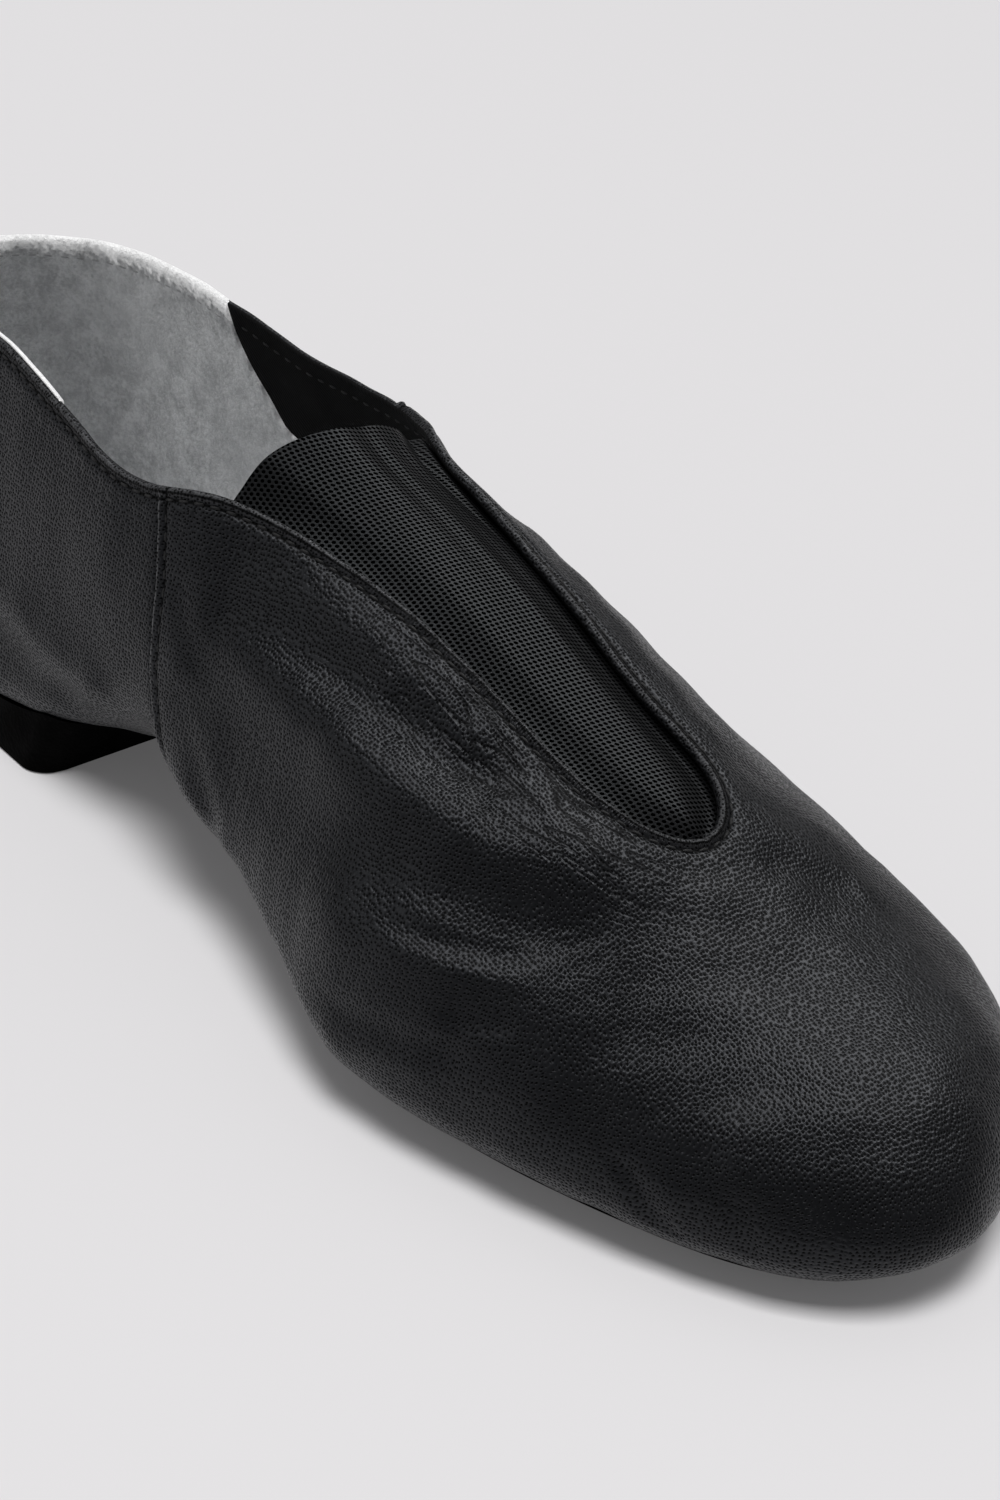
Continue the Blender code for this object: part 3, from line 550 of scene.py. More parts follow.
def throat_wrinkles(points):
    """Short fine wrinkles that fan out from the outer edge of the throat where the foot bends it."""
    x, y, z = np.moveaxis(points, -1, 0)
    along = (x / SHOE_LENGTH - WRINKLES_AT) / WRINKLES_LENGTH
    below = (throat_axis(x) - throat_side(x) - y) / WRINKLES_REACH
    mask = np.exp(-along ** 2) * smoothstep(below / 0.15) * np.exp(-np.maximum(below, 0) ** 2)
    phase = 900 * x + 520 * y + 260 * z + 1.4 * np.sin(180 * x + 60 * z) + 0.9 * np.sin(420 * y + 130 * x)
    return mask * MM * (0.12 * np.sin(phase) - 0.30 * np.exp(-(np.sin(phase / 2) / 0.36) ** 2))


# %% [markdown]
# ## Edges of the leather
# The topline is turned over and stitched down, so it ends in a soft bead with the stitches in a groove
# below it. At the side seams the vamp's edge is folded and lies on the quarter. A bevel modifier can't
# give these forms. They are short profiles: a distance down from the edge, and a height over the last.

# %% Profiles of the rolled topline and of the folded seam
ROLL_DEPTH = 0.72 * MM
BEAD_PROUD = 0.34 * MM
WALL_MIDDLE = UPPER_WALL / 2
ROLL_TURNS = np.radians([0, 18, 36, 54, 72, 90])
EDGE = table(
    "down height", (0.95, 0.33), (1.20, 0.26), (1.45, 0.12), (1.70, -0.05), (1.95, -0.16), (2.20, -0.16),
    (2.45, -0.04), (2.80, 0.09), (3.40, 0.15), (4.20, 0.11), (5.20, 0.04), (6.30, 0.0))
TOPLINE_STITCH_AT = 2.05 * MM
LAP_STEP = 0.6 * MM
LAP_WIDTH = 8 * MM
LAP_SOFT = 0.4 * MM
SEAM_STITCH_AT = 1.6 * MM
SEAM_RELIEF = table("height ahead width", (0.15, 0.45, 0.35), (-0.25, -0.45, 0.3), (-0.28, 1.6, 0.3))


def seam_height(ahead):
    """Height of the lapped seam over the last, by the distance ahead of its fold."""
    rise = smoothstep((ahead + LAP_SOFT / 2) / LAP_SOFT)
    height = LAP_STEP * rise * smoothstep(2 - ahead / LAP_WIDTH)
    for row in SEAM_RELIEF:
        height = height + row.height * MM * np.exp(-((ahead - row.ahead * MM) / (row.width * MM)) ** 2)
    return height


# %% The leather's own net, with its folds
BODY_ROWS = 96
FOLDS_AT_EDGE = 0.35
FOLDS_FULL_AFTER = 9 * MM
HEM_STIFF = 10 * MM
CRINKLED_FROM = 0.55
CRINKLED_TO = 0.72
roll_down = ROLL_DEPTH * (1 - np.cos(ROLL_TURNS))
roll_out = -WALL_MIDDLE + (WALL_MIDDLE + BEAD_PROUD) * np.sin(ROLL_TURNS)
roll_in = -WALL_MIDDLE - WALL_MIDDLE * np.sin(ROLL_TURNS)
edge_down, edge_height = np.array(EDGE).T * MM
near_edge = np.concatenate([roll_down, edge_down])
down = np.array([np.r_[near_edge, near_edge[-1] + (long - near_edge[-1])
                       * np.linspace(0, 1, BODY_ROWS)[1:]] for long in LENGTHS])
shell = np.array([resample(line, distances) for line, distances in zip(LINES, down)])
soft = smoothstep((LENGTHS[:, None] - down) / HEM_STIFF - 0.6)
clear_of_edge = smoothstep((down - 1.0 * MM) / FOLDS_FULL_AFTER)
moved = (folded(shell) * (FOLDS_AT_EDGE + (1 - FOLDS_AT_EDGE) * clear_of_edge) + wavy(shell)
         + throat_wrinkles(shell) * smoothstep((down - 2.4 * MM) / (3 * MM))) * soft
shell = shell + moved[..., None] * normals(shell, closed=True)
OUT = normals(shell, closed=True)
SEAM = seam_height(AHEAD)
round_at = run_of(shell[:, len(near_edge) - 1]) / MM


def column_at(side, ahead):
    """Number of the column on one side that stands nearest to a distance ahead of the seam's fold."""
    on_side = [i for i, column in enumerate(NET) if column.side == side]
    return min(on_side, key=lambda i: abs(NET[i].ahead - ahead))


FOLD_AT = {side: round_at[column_at(side, 0.0)] for side in (-1, 1)}
CRINKLED = [at for at, column in zip(round_at, NET)
            if column.side < 0 and CRINKLED_FROM < column.foot / SHOE_LENGTH < CRINKLED_TO]
print("folds move the leather by", round(moved.min() / MM, 2), "to", round(moved.max() / MM, 2), "mm")


# %% [markdown]
# ## Meshes from nets
# Every soft piece is a sheet with two faces and an edge. bmesh could join them face by face, but a few
# helpers that number the quads of a net are quicker and leave no stray faces. The texture coordinates
# are millimetres: across the net runs the first and down from the edge the second.

# %% Helpers that turn nets into pieces
def grid_faces(rows, cols, start=0, closed=False, flip=False):
    """Quads over a grid of rows (round or along) by cols (down or across), numbered from start."""
    i, k = np.meshgrid(np.arange(rows if closed else rows - 1), np.arange(cols - 1), indexing="ij")
    j = (i + 1) % rows
    quads = np.stack([i * cols + k, i * cols + k + 1, j * cols + k + 1, j * cols + k], -1).reshape(-1, 4)
    return start + (quads[:, ::-1] if flip else quads)


def joined(above, below):
    """Quads between two rings of vertices."""
    return np.stack([above, np.roll(above, -1), np.roll(below, -1), below], -1)


def rim(rows, cols):
    """Vertices round the edge of a grid, in order."""
    grid = np.arange(rows * cols).reshape(rows, cols)
    return np.r_[grid[0], grid[1:, -1], grid[-1, -2::-1], grid[-2:0:-1, 0]]


def new_piece(name, vertices, faces, coords, materials, slots=None, sharp=50):
    """Mesh object in the shoe's frame, with its coordinates in millimetres, riding on the shoe."""
    place = np.asarray(vertices, float) - [HEEL_CENTRE, 0.0, 0.0]
    mesh = bpy.data.meshes.new(name)
    mesh.from_pydata(place.tolist(), [], [list(map(int, face)) for face in faces])
    layer = mesh.uv_layers.new(name="millimetres")
    corners = np.zeros(len(mesh.loops), np.int32)
    mesh.loops.foreach_get("vertex_index", corners)
    layer.data.foreach_set("uv", np.asarray(coords, np.float32)[corners].ravel())
    for material in materials:
        mesh.materials.append(material)
    if slots is not None:
        mesh.polygons.foreach_set("material_index", np.asarray(slots, np.int32))
    mesh.shade_smooth()
    mesh.set_sharp_from_angle(angle=math.radians(sharp))
    mesh.update()
    made = bpy.data.objects.new(name, mesh)
    bpy.context.scene.collection.objects.link(made)
    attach(made, "root")
    print(name, "vertices", len(mesh.vertices), "faces", len(mesh.polygons))
    return made


def plate(name, top, bottom, coords, materials, sides=(), sharp=50):
    """Closed sheet or block between two grids, with rings of points down its sides."""
    rows, cols = top.shape[:2]
    size = rows * cols
    order = rim(rows, cols)
    coords = coords.reshape(-1, 2)
    side_rings = [2 * size + k * len(order) + np.arange(len(order)) for k in range(len(sides))]
    rings = [order, *side_rings, size + order]
    faces = [grid_faces(rows, cols, 0, flip=True), grid_faces(rows, cols, size)]
    faces += [joined(above, below) for above, below in zip(rings, rings[1:])]
    return new_piece(name, np.vstack([top.reshape(-1, 3), bottom.reshape(-1, 3), *sides]), np.vstack(faces),
                     np.vstack([coords, coords, *[coords[order]] * len(sides)]), materials, sharp=sharp)


# %% [markdown]
# ## Materials from sums
# A finish is a chain of small sums on patterns. Each sum is a node, and a chain of nodes that is linked
# by hand fills pages. Here a node's output is a signal that can be added, taken away and multiplied as a
# number can, and every sum makes its own node. Even values sit on the shader's own sockets, also under a
# link, because a plain viewer that can't follow the link shows them instead.

# %% Signals that make their own nodes
class Signal:
    """Output of a node, to be used in sums as a number can be."""

    def __init__(self, socket):
        self.socket = socket

    def __add__(self, other):
        return maths("ADD", self, other)

    def __sub__(self, other):
        return maths("SUBTRACT", self, other)

    def __rsub__(self, other):
        return maths("SUBTRACT", other, self)

    def __mul__(self, other):
        return maths("MULTIPLY", self, other)

    def __abs__(self):
        return maths("ABSOLUTE", self)


def put(socket, value):
    """Link a signal to a socket, or set the socket's own value."""
    if isinstance(value, Signal):
        socket.id_data.links.new(value.socket, socket)
    else:
        socket.default_value = (*value, 1.0) if socket.type == "RGBA" else value


def put_all(node, values):
    """Put signals or values on a node's inputs by their names."""
    for name, value in values.items():
        put(node.inputs[name.replace("_", " ")], value)


def node(kind, *values, take=0, **named):
    """Signal from a new node. Names in small letters are its settings, the others its inputs."""
    tree = next(v for v in (*values, *named.values()) if isinstance(v, Signal)).socket.id_data
    made = tree.nodes.new("ShaderNode" + kind)
    for name in [name for name in named if name[0].islower()]:
        setattr(made, name, named.pop(name))
    for socket, value in zip(made.inputs, values):
        put(socket, value)
    put_all(made, named)
    return Signal(made.outputs[take])


def maths(operation, *values):
    """Result of one sum."""
    return node("Math", *values, operation=operation)


def most(first, second):
    """The larger of two signals."""
    return maths("MAXIMUM", first, second)


def split(vector):
    """The three numbers of a vector."""
    return [Signal(output) for output in node("SeparateXYZ", vector).socket.node.outputs]


def ranged(value, low, high, to_low=0.0, to_high=1.0, smooth=False):
    """Value brought from one range to another and held at its ends."""
    kind = "SMOOTHSTEP" if smooth else "LINEAR"
    return node("MapRange", value, low, high, to_low, to_high, interpolation_type=kind)


def near(value, at, far, close):
    """1 where a value is close to one number, 0 where it is far from it."""
    return ranged(abs(value - at), far, close)


# %% Patterns, colours and bumps
def material(name, colour, roughness, **fixed):
    """Principled material, its shader, and its places in metres and on the net in millimetres."""
    made = bpy.data.materials.new(name)
    made.use_nodes = True
    shader = made.node_tree.nodes["Principled BSDF"]
    put_all(shader, dict(Base_Color=colour, Roughness=roughness, **fixed))
    print("material:", name)
    coords = made.node_tree.nodes.new("ShaderNodeTexCoord").outputs
    flat = Signal(coords["UV"])
    return made, shader, Signal(coords["Object"]), flat, *split(flat)[:2]


def noise(vector, scale, detail=2.0, roughness=0.5):
    """Noise from 0 to 1."""
    return node("TexNoise", Vector=vector, Scale=scale, Detail=detail, Roughness=roughness)


def slanted(flat, scale, **named):
    """Slanted bands, as in twill or in twisted thread."""
    return node("TexWave", Vector=flat, Scale=scale, bands_direction="DIAGONAL", take="Fac", **named)


def blend_colour(share, first, second):
    """Mix of two colours by a share."""
    mixed = node("Mix", share, take=2, data_type="RGBA")
    for socket, colour in zip(mixed.socket.node.inputs[6:8], (first, second)):
        put(socket, colour)
    return mixed


def bump(height, distance, strength=1.0, **under):
    """Bump of the given height in metres, over another one where it is given as Normal."""
    return node("Bump", Height=height, Distance=distance, Strength=strength, **under)


def facing(spot, kind="Normal"):
    """Direction that the surface faces."""
    return Signal(spot.socket.id_data.nodes.new("ShaderNodeNewGeometry").outputs[kind])


def from_three_sides(spot, scale):
    """Distance to the middle of flat cells, laid on the surface from the side, the front and the top."""
    x, y, z = split(spot)
    to_x, to_y, to_z = split(node("VectorMath", facing(spot), operation="ABSOLUTE"))
    side, front, top = [node("TexVoronoi", voronoi_dimensions="2D", Scale=scale, Randomness=0.6,
                             Vector=node("CombineXYZ", *pair)) for pair in ((x, z), (y, z), (x, y))]
    level = side + (front - side) * ranged(to_x - to_y, -0.1, 0.1)
    return level + (top - level) * ranged(to_z - most(to_x, to_y), -0.1, 0.1)


# %% [markdown]
# ## The leather
# Jazz shoes are cut from thin goat or pig skin: a close pebble of little pits two thirds of a millimetre
# apart, a faint cross grain and a low sheen that is brighter where the skin is stretched. Colour alone
# would read as plastic. A solid pattern of cells would be cut at random depths, so the pits are flat
# cells, laid on from the side, the front and the top, each where the leather faces that way. They drive
# the bump, the colour and the roughness. The rolled edge has small ribs, because skin gathers there, and
# the skin beside the throat is crossed by thin creases, because it folds there at each step.

# %% Black pebbled leather
GRAIN_STEP = 0.63 * MM
GRAIN_DEPTH = 0.165 * MM
GRAIN_DRIFT = 1.2 * MM
STITCH_PITCH = 2.7
FULL_TURN = 2 * math.pi

leather, shader, spot, flat, round_mm, down_mm = material(
    "pebbled_leather", (0.006, 0.006, 0.0065), 0.42, Coat_Weight=0.04, Coat_Roughness=0.3,
    Specular_IOR_Level=0.17, Specular_Tint=(0.90, 0.93, 1.0))
drift = node("TexNoise", Vector=spot, Scale=140.0, take="Color")
drifted = node("VectorMath", drift, [GRAIN_DRIFT] * 3, spot, operation="MULTIPLY_ADD")
distance = from_three_sides(drifted, 1 / GRAIN_STEP)
pits = ranged(distance, 0.13, 0.36, smooth=True)
broad = noise(spot, 75.0, 3.0, 0.55)
streaks = node("Mapping", Vector=spot, Scale=(1.0, 2.6, 2.6), Rotation=(0.3, 0.2, 0.5))
grain = (pits * ranged(broad, 0.3, 0.7, 0.7, 1.0) + ranged(distance, 0.34, 0.62) * 0.22
         + noise(spot, 2600.0) * 0.25)
across_throat = node("Mapping", Vector=flat, Scale=(0.075, 0.40, 1.0), Rotation=(0.0, 0.0, -0.40))
by_throat = (ranged(round_mm, min(CRINKLED) - 8, min(CRINKLED) + 10)
             * ranged(round_mm, max(CRINKLED) - 5, max(CRINKLED) - 18)
             * ranged(down_mm, 22.0, 6.0, smooth=True))
crinkle = near(noise(across_throat, 1.0, 0.8), 0.5, 0.05, 0.0) * by_throat * ranged(down_mm, 2.3, 3.2)
surface = bump(noise(streaks, 330.0, 1.5), 0.16 * MM)
surface = bump(crinkle, -0.32 * MM, Normal=surface)
surface = bump(grain, GRAIN_DEPTH, Normal=surface)
ribs = node("TexWave", Vector=flat, Scale=0.62, Distortion=2.6, take="Fac")
on_bead = ranged(down_mm, 1.8, 1.3) * ranged(down_mm, -0.1, 0.2)
pucker = maths("SINE", round_mm * (FULL_TURN / STITCH_PITCH) + broad * 5.0)
by_stitch = ranged(down_mm, 10.0, 2.6, smooth=True) * ranged(down_mm, 1.5, 2.1)
surface = bump(ribs * on_bead + pucker * 0.30 * by_stitch, 0.10 * MM, 0.8, Normal=surface)

# %% Lip, grooves and colour of the leather, with painted highlights and painted shade
on_lip = ranged(down_mm, 0.80, 0.66) * ranged(down_mm, 0.10, 0.24)
groove = near(down_mm, TOPLINE_STITCH_AT / MM, 0.38, 0.12)
for side, fold_at in FOLD_AT.items():
    on_lip = most(on_lip, near(round_mm, fold_at - side * 0.25, 0.34, 0.16))
    groove = most(groove, near(round_mm, fold_at - side * SEAM_STITCH_AT / MM, 0.38, 0.12))
# Painted shade: the stitch grooves, a line just under the bead and the crinkles are painted nearly black, and
# their specular level is lowered.
painted_shade = most(most(groove, near(down_mm, 1.00, 0.24, 0.12)), crinkle * 0.6)
# The colour's tone varies at random and the pits are darker. The rolled bead and the lips along the topline
# and the seam folds are painted lighter: these are painted highlights.
tone_and_painted_highlights = blend_colour(ranged(broad, 0.35, 0.75), (0.0026, 0.0028, 0.0034), (0.0054, 0.0057, 0.0068))
tone_and_painted_highlights = blend_colour(on_bead * 0.8, tone_and_painted_highlights, (0.016, 0.016, 0.017))
tone_and_painted_highlights = blend_colour(on_lip * ranged(noise(spot, 900.0), 0.35, 0.62, 0.25, 1.0), tone_and_painted_highlights, (0.066, 0.067, 0.070))
tone_and_painted_highlights = blend_colour(pits, (0.0012, 0.0012, 0.0012), tone_and_painted_highlights)
put_all(shader, dict(
    Normal=surface, Base_Color=blend_colour(painted_shade, tone_and_painted_highlights, (0.001, 0.001, 0.001)),
    Roughness=broad * 0.12 + ranged(pits, 0.0, 1.0, 0.50, 0.28) - on_bead * 0.05 + groove * 0.35,
    Specular_IOR_Level=ranged(pits, 0.0, 1.0, 0.03, 0.26) * (1.0 - painted_shade * 0.7)))
print("leather grain:", GRAIN_STEP / MM, "mm")

# %% Black cotton lining inside the vamp
lining_black, shader, spot, flat, *_ = material("black_lining_cloth", (0.012, 0.012, 0.013), 0.92,
                                                Specular_IOR_Level=0.2)
twill = slanted(flat, 0.7, Distortion=0.6, Detail=1.0)
lint = ranged(noise(spot, 420.0, 4.0, 0.7), 0.55, 0.8)
put_all(shader, dict(Normal=bump(noise(spot, 2200.0, 4.0, 0.65) * 1.4 + twill, 0.08 * MM, 0.8),
                     Base_Color=blend_colour(lint, (0.0018, 0.0018, 0.002), (0.006, 0.006, 0.0065))))

# %% [markdown]
# ## The upper
# On the real shoe the vamp and the two quarters are cut flat, sewn together at the side seams, pulled
# over the last and glued under the foot. They could be three pieces here as well, but the seams are
# steps of under a millimetre in one skin, so one closed net has the outer face, the rolled edge and the
# inner face. The outer face takes the leather and the inner one the black lining cloth.

# %% Build the upper
INNER_ROWS = 34
count, outer_rows = shell.shape[:2]
raised = np.zeros((count, outer_rows))
raised[:, :len(ROLL_TURNS)] = roll_out
raised[:, len(ROLL_TURNS):len(near_edge)] = edge_height
taper = smoothstep((LENGTHS[:, None] - down) / (6 * MM))
outer = shell + (raised + SEAM * np.where(raised > -WALL_MIDDLE, 1, 0) * taper)[..., None] * OUT
thick = np.full(outer_rows, -UPPER_WALL)
thick[:len(ROLL_TURNS)] = roll_in
keep = [*range(1, len(ROLL_TURNS)), len(near_edge) - 6,
        *np.linspace(len(near_edge), outer_rows - 1, INNER_ROWS).astype(int)]
inner = (shell + thick[None, :, None] * OUT)[:, keep]
start = count * outer_rows
outer_rim = np.arange(count) * outer_rows
inner_rim = start + np.arange(count) * len(keep)
outer_faces = grid_faces(count, outer_rows, closed=True)
faces = [outer_faces, joined(outer_rim + outer_rows - 1, inner_rim + len(keep) - 1)[:, ::-1],
         joined(outer_rim, inner_rim), grid_faces(count, len(keep), start, closed=True, flip=True)]
inside_out = np.repeat([0, 1], [len(outer_faces) + count, count * len(keep)])
net_mm = np.stack(np.broadcast_arrays(round_at[:, None], down / MM), -1)
upper = new_piece("leather_upper", np.vstack([outer.reshape(-1, 3), inner.reshape(-1, 3)]), np.vstack(faces),
                  np.vstack([net_mm.reshape(-1, 2), net_mm[:, keep].reshape(-1, 2)]), [leather, lining_black],
                  inside_out)
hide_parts("upper")

# %% [markdown]
# ## The grey heel lining
# The heel is lined with split suede, whose fuzzy side grips the foot. It is turned over the topline,
# where its cut edge is nearly white and glows a little as a painted highlight, and it ends in a slanting
# edge over the black vamp lining. It is a sheet of its own, half a millimetre thick, on the same columns as
# the leather.

# %% Grey suede
suede, shader, spot, flat, round_mm, down_mm = material(
    "grey_suede", (0.55, 0.56, 0.57), 0.95, Sheen_Weight=0.25, Sheen_Roughness=0.6,
    Emission_Color=(1.0, 1.0, 1.0))
nap = noise(spot, 1500.0, 4.0, 0.7)
brushed = noise(spot, 240.0, 4.0, 0.62)
dimples = (maths("SINE", round_mm * (FULL_TURN / STITCH_PITCH)) * ranged(down_mm, 4.2, 2.6)
           * ranged(down_mm, 1.2, 2.0))
fuzz = nap * 0.5 + brushed * 0.5
grey = blend_colour(ranged(fuzz, 0.40, 0.60), (0.52, 0.53, 0.54), (0.94, 0.95, 0.96))
grey = blend_colour(ranged(noise(spot, 42.0, 3.0), 0.42, 0.66, 0.0, 0.5), grey, (0.80, 0.81, 0.82))
# The cut edge is nearly white and also glows a little by emission, a painted highlight on its fibres.
cut_edge = ranged(noise(spot, 850.0, 3.0, 0.6) * 7.0 + down_mm, 5.9, 4.3)
put_all(shader, dict(Normal=bump(brushed * 1.6 + nap + dimples * 0.7, 0.7 * MM),
                     Base_Color=blend_colour(cut_edge, grey, (0.96, 0.96, 0.96)),
                     Emission_Strength=cut_edge * ranged(fuzz, 0.36, 0.62, 0.03, 0.32)))

# %% Build the heel lining
LINING_WALL = 0.45 * MM
LINING_GAP = 0.04 * MM
LINING_TUCK = 0.38 * MM
LINING_END = 110 * MM
LINING_HEM_GAP = 0.5 * MM
PLAIN_EDGE = 0.9 * MM
PLAIN_EDGE_SHIFT = 2.5
LINING_ROLL = np.radians([-24, -8, 10, 28, 46, 64, 80, 90])
LINING_EDGE = {
    1: table("at top", (46.5, 0.0), (49.5, 0.6), (51.0, 5.5), (55.7, 12.0), (60.5, 17.8), (63.3, 18.6),
             (66.8, 18.0), (71.9, 15.2), (76.0, 13.2), (112.0, 13.0)),
    -1: table("at top", (60.5, 0.0), (63.5, 0.6), (65.0, 5.5), (69.7, 12.5), (76.0, 18.0), (112.0, 14.0))}
LINING_ROWS = 46
LINING_BACK = -UPPER_WALL - LINING_GAP

feet = shell[:, 0, 0]
inner_side, outer_side = [[i for i in range(count) if NET[i].side == side and feet[i] < LINING_END]
                          for side in (1, -1)]
lined = inner_side + outer_side
lining_round = np.sin(np.linspace(0, math.pi / 2, len(LINING_ROLL)))


def lining_line(i, over, plain, rest, tuck, wall):
    """Line down one face of the lining, turned over the bead where it reaches it, and its distances down."""
    turn_down = ROLL_DEPTH - (ROLL_DEPTH + tuck) * np.cos(LINING_ROLL)
    turn_out = -WALL_MIDDLE - (WALL_MIDDLE + wall + LINING_GAP) * np.sin(LINING_ROLL)
    at = np.r_[over * turn_down + (1 - over) * plain, rest]
    height = np.r_[over * turn_out + (1 - over) * (LINING_BACK - wall * lining_round),
                   np.full(LINING_ROWS, LINING_BACK - wall)]
    return resample(shell[i], at) + height[:, None] * between(at, down[i], OUT[i]), at


face, back, lining_mm = [], [], []
for i in lined:
    ends = LINING_EDGE[NET[i].side]
    low = np.interp(feet[i] / MM, [row.at for row in ends], [row.top for row in ends]) * MM
    over = 1 - smoothstep((low - 0.3 * MM) / (2.0 * MM))
    plain = low + np.linspace(0.0, PLAIN_EDGE, len(LINING_ROLL))
    rest = np.linspace(plain[-1] + 0.3 * MM, LENGTHS[i] - LINING_HEM_GAP, LINING_ROWS)
    face_line, face_down = lining_line(i, over, plain, rest, LINING_TUCK, LINING_WALL)
    face.append(face_line)
    back.append(lining_line(i, over, plain + 0.02 * MM, rest, LINING_GAP, 0.0)[0])
    from_edge = (face_down - low) / MM + PLAIN_EDGE_SHIFT * (1 - over)
    lining_mm.append(np.stack([np.full(len(face_down), round_at[i]), from_edge], -1))
heel_lining = plate("heel_lining", np.array(face), np.array(back), np.array(lining_mm), [suede], sharp=60)

# %% [markdown]
# ## Stitches
# The stitches are about 2.7 mm long, in dull black thread, and each one dips into the leather at both
# ends. A bump pattern would flatten in a side view, so each stitch is a small bent capsule. They lie in
# the groove under the rolled edge, ahead of each seam's fold, and inside along the lining's edge.

# %% Thread
thread, shader, spot, flat, *_ = material("black_thread", (0.008, 0.008, 0.0085), 0.42,
                                          Specular_IOR_Level=0.35)
twist = slanted(flat, 2.2, Distortion=0.8)
put_all(shader, dict(Normal=bump(twist, 0.05 * MM, 0.8), Roughness=ranged(twist, 0.0, 1.0, 0.4, 0.6)))
thread_grey, shader, spot, flat, *_ = material("grey_thread", (0.46, 0.46, 0.47), 0.8, Sheen_Weight=0.2)
put_all(shader, dict(Normal=bump(slanted(flat, 2.2), 0.05 * MM, 0.8)))

# %% Rows of stitches along lines on the leather
STITCH_LENGTH = 1.95 * MM
STITCH_DIP = 0.30 * MM
STITCH_RINGS = 7
THREAD_RADIUS = 0.24 * MM
LINING_THREAD = 0.18 * MM
RIM_THREAD = 0.17 * MM
THREAD_FLATNESS = 0.85
THREAD_SIDES = 8
LINING_STITCH_AT = 3.0 * MM
OUTER_ROW_FROM = 66 * MM
INNER_ROW_FROM = 51 * MM


def stitch_row(name, line, outward, finish, lift, radius=THREAD_RADIUS):
    """Row of bent capsules along a line of points, with its outward directions."""
    run = run_of(line)
    number = int(run[-1] / (STITCH_PITCH * MM))
    share = np.linspace(-1, 1, STITCH_RINGS)
    at = ((np.arange(number) + 0.5) * run[-1] / number)[:, None] + share[None, :] * STITCH_LENGTH / 2
    centre, away = between(at, run, line), between(at, run, outward)
    forward = np.gradient(centre, axis=1)
    forward /= np.linalg.norm(forward, axis=-1, keepdims=True)
    beside = np.cross(forward, away)
    beside /= np.linalg.norm(beside, axis=-1, keepdims=True)
    thick = radius * np.sqrt(np.maximum(1 - (np.abs(share) ** 3.2) * 0.92, 0.05))
    centre += away * (lift - STITCH_DIP * np.abs(share) ** 3)[None, :, None]
    turn = np.linspace(0, FULL_TURN, THREAD_SIDES, endpoint=False)
    ring = (np.cos(turn)[:, None] * beside[:, :, None, :]
            + THREAD_FLATNESS * np.sin(turn)[:, None] * away[:, :, None, :])
    points = centre[:, :, None, :] + thick[None, :, None, None] * ring
    rings = np.arange(STITCH_RINGS * THREAD_SIDES).reshape(STITCH_RINGS, THREAD_SIDES)
    capsule = [quad for above, below in zip(rings, rings[1:]) for quad in joined(above, below)]
    capsule += [rings[0][::-1], rings[-1]]
    faces = [first + face for first in np.arange(number) * rings.size for face in capsule]
    coords = np.stack(np.broadcast_arrays(at[:, :, None] / MM, turn * radius / MM), -1)
    return new_piece(name, points.reshape(-1, 3), faces, coords.reshape(-1, 2), [finish])


def row_at(distance, part):
    """Line of points round the topline at a distance down, and its outward directions."""
    return [np.array([between(distance, down[i], grid[i]) for i in part]) for grid in (shell, OUT)]


all_round = [*range(count), 0]
line, away = row_at(TOPLINE_STITCH_AT, all_round)
stitch_row("topline_stitches", line + away * (SEAM[all_round] - 0.05 * MM), away, thread, 0.02 * MM)
for side, name in ((-1, "outer_seam_stitches"), (1, "inner_seam_stitches")):
    i = column_at(side, SEAM_STITCH_AT)
    body = (down[i] > 3.2 * MM) & (down[i] < LENGTHS[i] - 9 * MM)
    away = OUT[i][body]
    stitch_row(name, shell[i][body] + away * (SEAM[i] - 0.03 * MM), away, thread, 0.05 * MM)
rolled_over = [i for i in lined if feet[i] < LINING_EDGE[NET[i].side][1].at * MM]
outer_row = [i for i in outer_side if feet[i] > OUTER_ROW_FROM]
inner_row = [i for i in inner_side if feet[i] > INNER_ROW_FROM]
for name, part, finish, wall, lift, radius in (
        ("rim_stitches", rolled_over, thread_grey, LINING_WALL, 0.0, RIM_THREAD),
        ("outer_lining_stitches", outer_row, thread, 0.0, 0.03 * MM, LINING_THREAD),
        ("inner_lining_stitches", inner_row, thread, 0.0, 0.03 * MM, LINING_THREAD)):
    line, away = row_at(LINING_STITCH_AT, part)
    stitch_row(name, line - away * (UPPER_WALL + wall + 0.02 * MM), -away, finish, lift, radius)

# %% [markdown]
# ## The elastic gore
# The throat is closed by an elastic knit that stretches when the foot goes in. Its mesh is a fine
# honeycomb of holes under a millimetre apart, and its free rear edge arches over the instep. Modelling
# each thread would take millions of faces, so the sheet is real, with its long soft waves, and the
# honeycomb is the sum of three waves, along, across and aslant, used for bump, colour and roughness.

# %% Knitted elastic
KNIT_WAVES = table("along across share", (1.364, -0.094, 1.0), (0.104, 1.110, 1.0), (-1.260, 1.204, 0.55))
knit, shader, spot, flat, along_mm, across_mm = material(
    "honeycomb_knit", (0.010, 0.010, 0.010), 0.5, Specular_IOR_Level=0.4, Specular_Tint=(0.9, 0.96, 1.0))
first, second, third = [
    maths("COSINE", along_mm * (FULL_TURN * wave.along) + across_mm * (FULL_TURN * wave.across)) * wave.share
    for wave in KNIT_WAVES]
yarn = 1.0 - ranged(first + second + third, -0.4, 0.95, smooth=True)
put_all(shader, dict(Normal=bump(noise(spot, 3500.0, 3.0, 0.6) * 0.3 + yarn, 0.20 * MM),
                     Base_Color=blend_colour(yarn, (0.0003, 0.0003, 0.0003), (0.0065, 0.0065, 0.007)),
                     Roughness=ranged(yarn, 0.0, 1.0, 0.95, 0.40),
                     Specular_IOR_Level=ranged(yarn, 0.2, 1.0, 0.0, 0.20)))

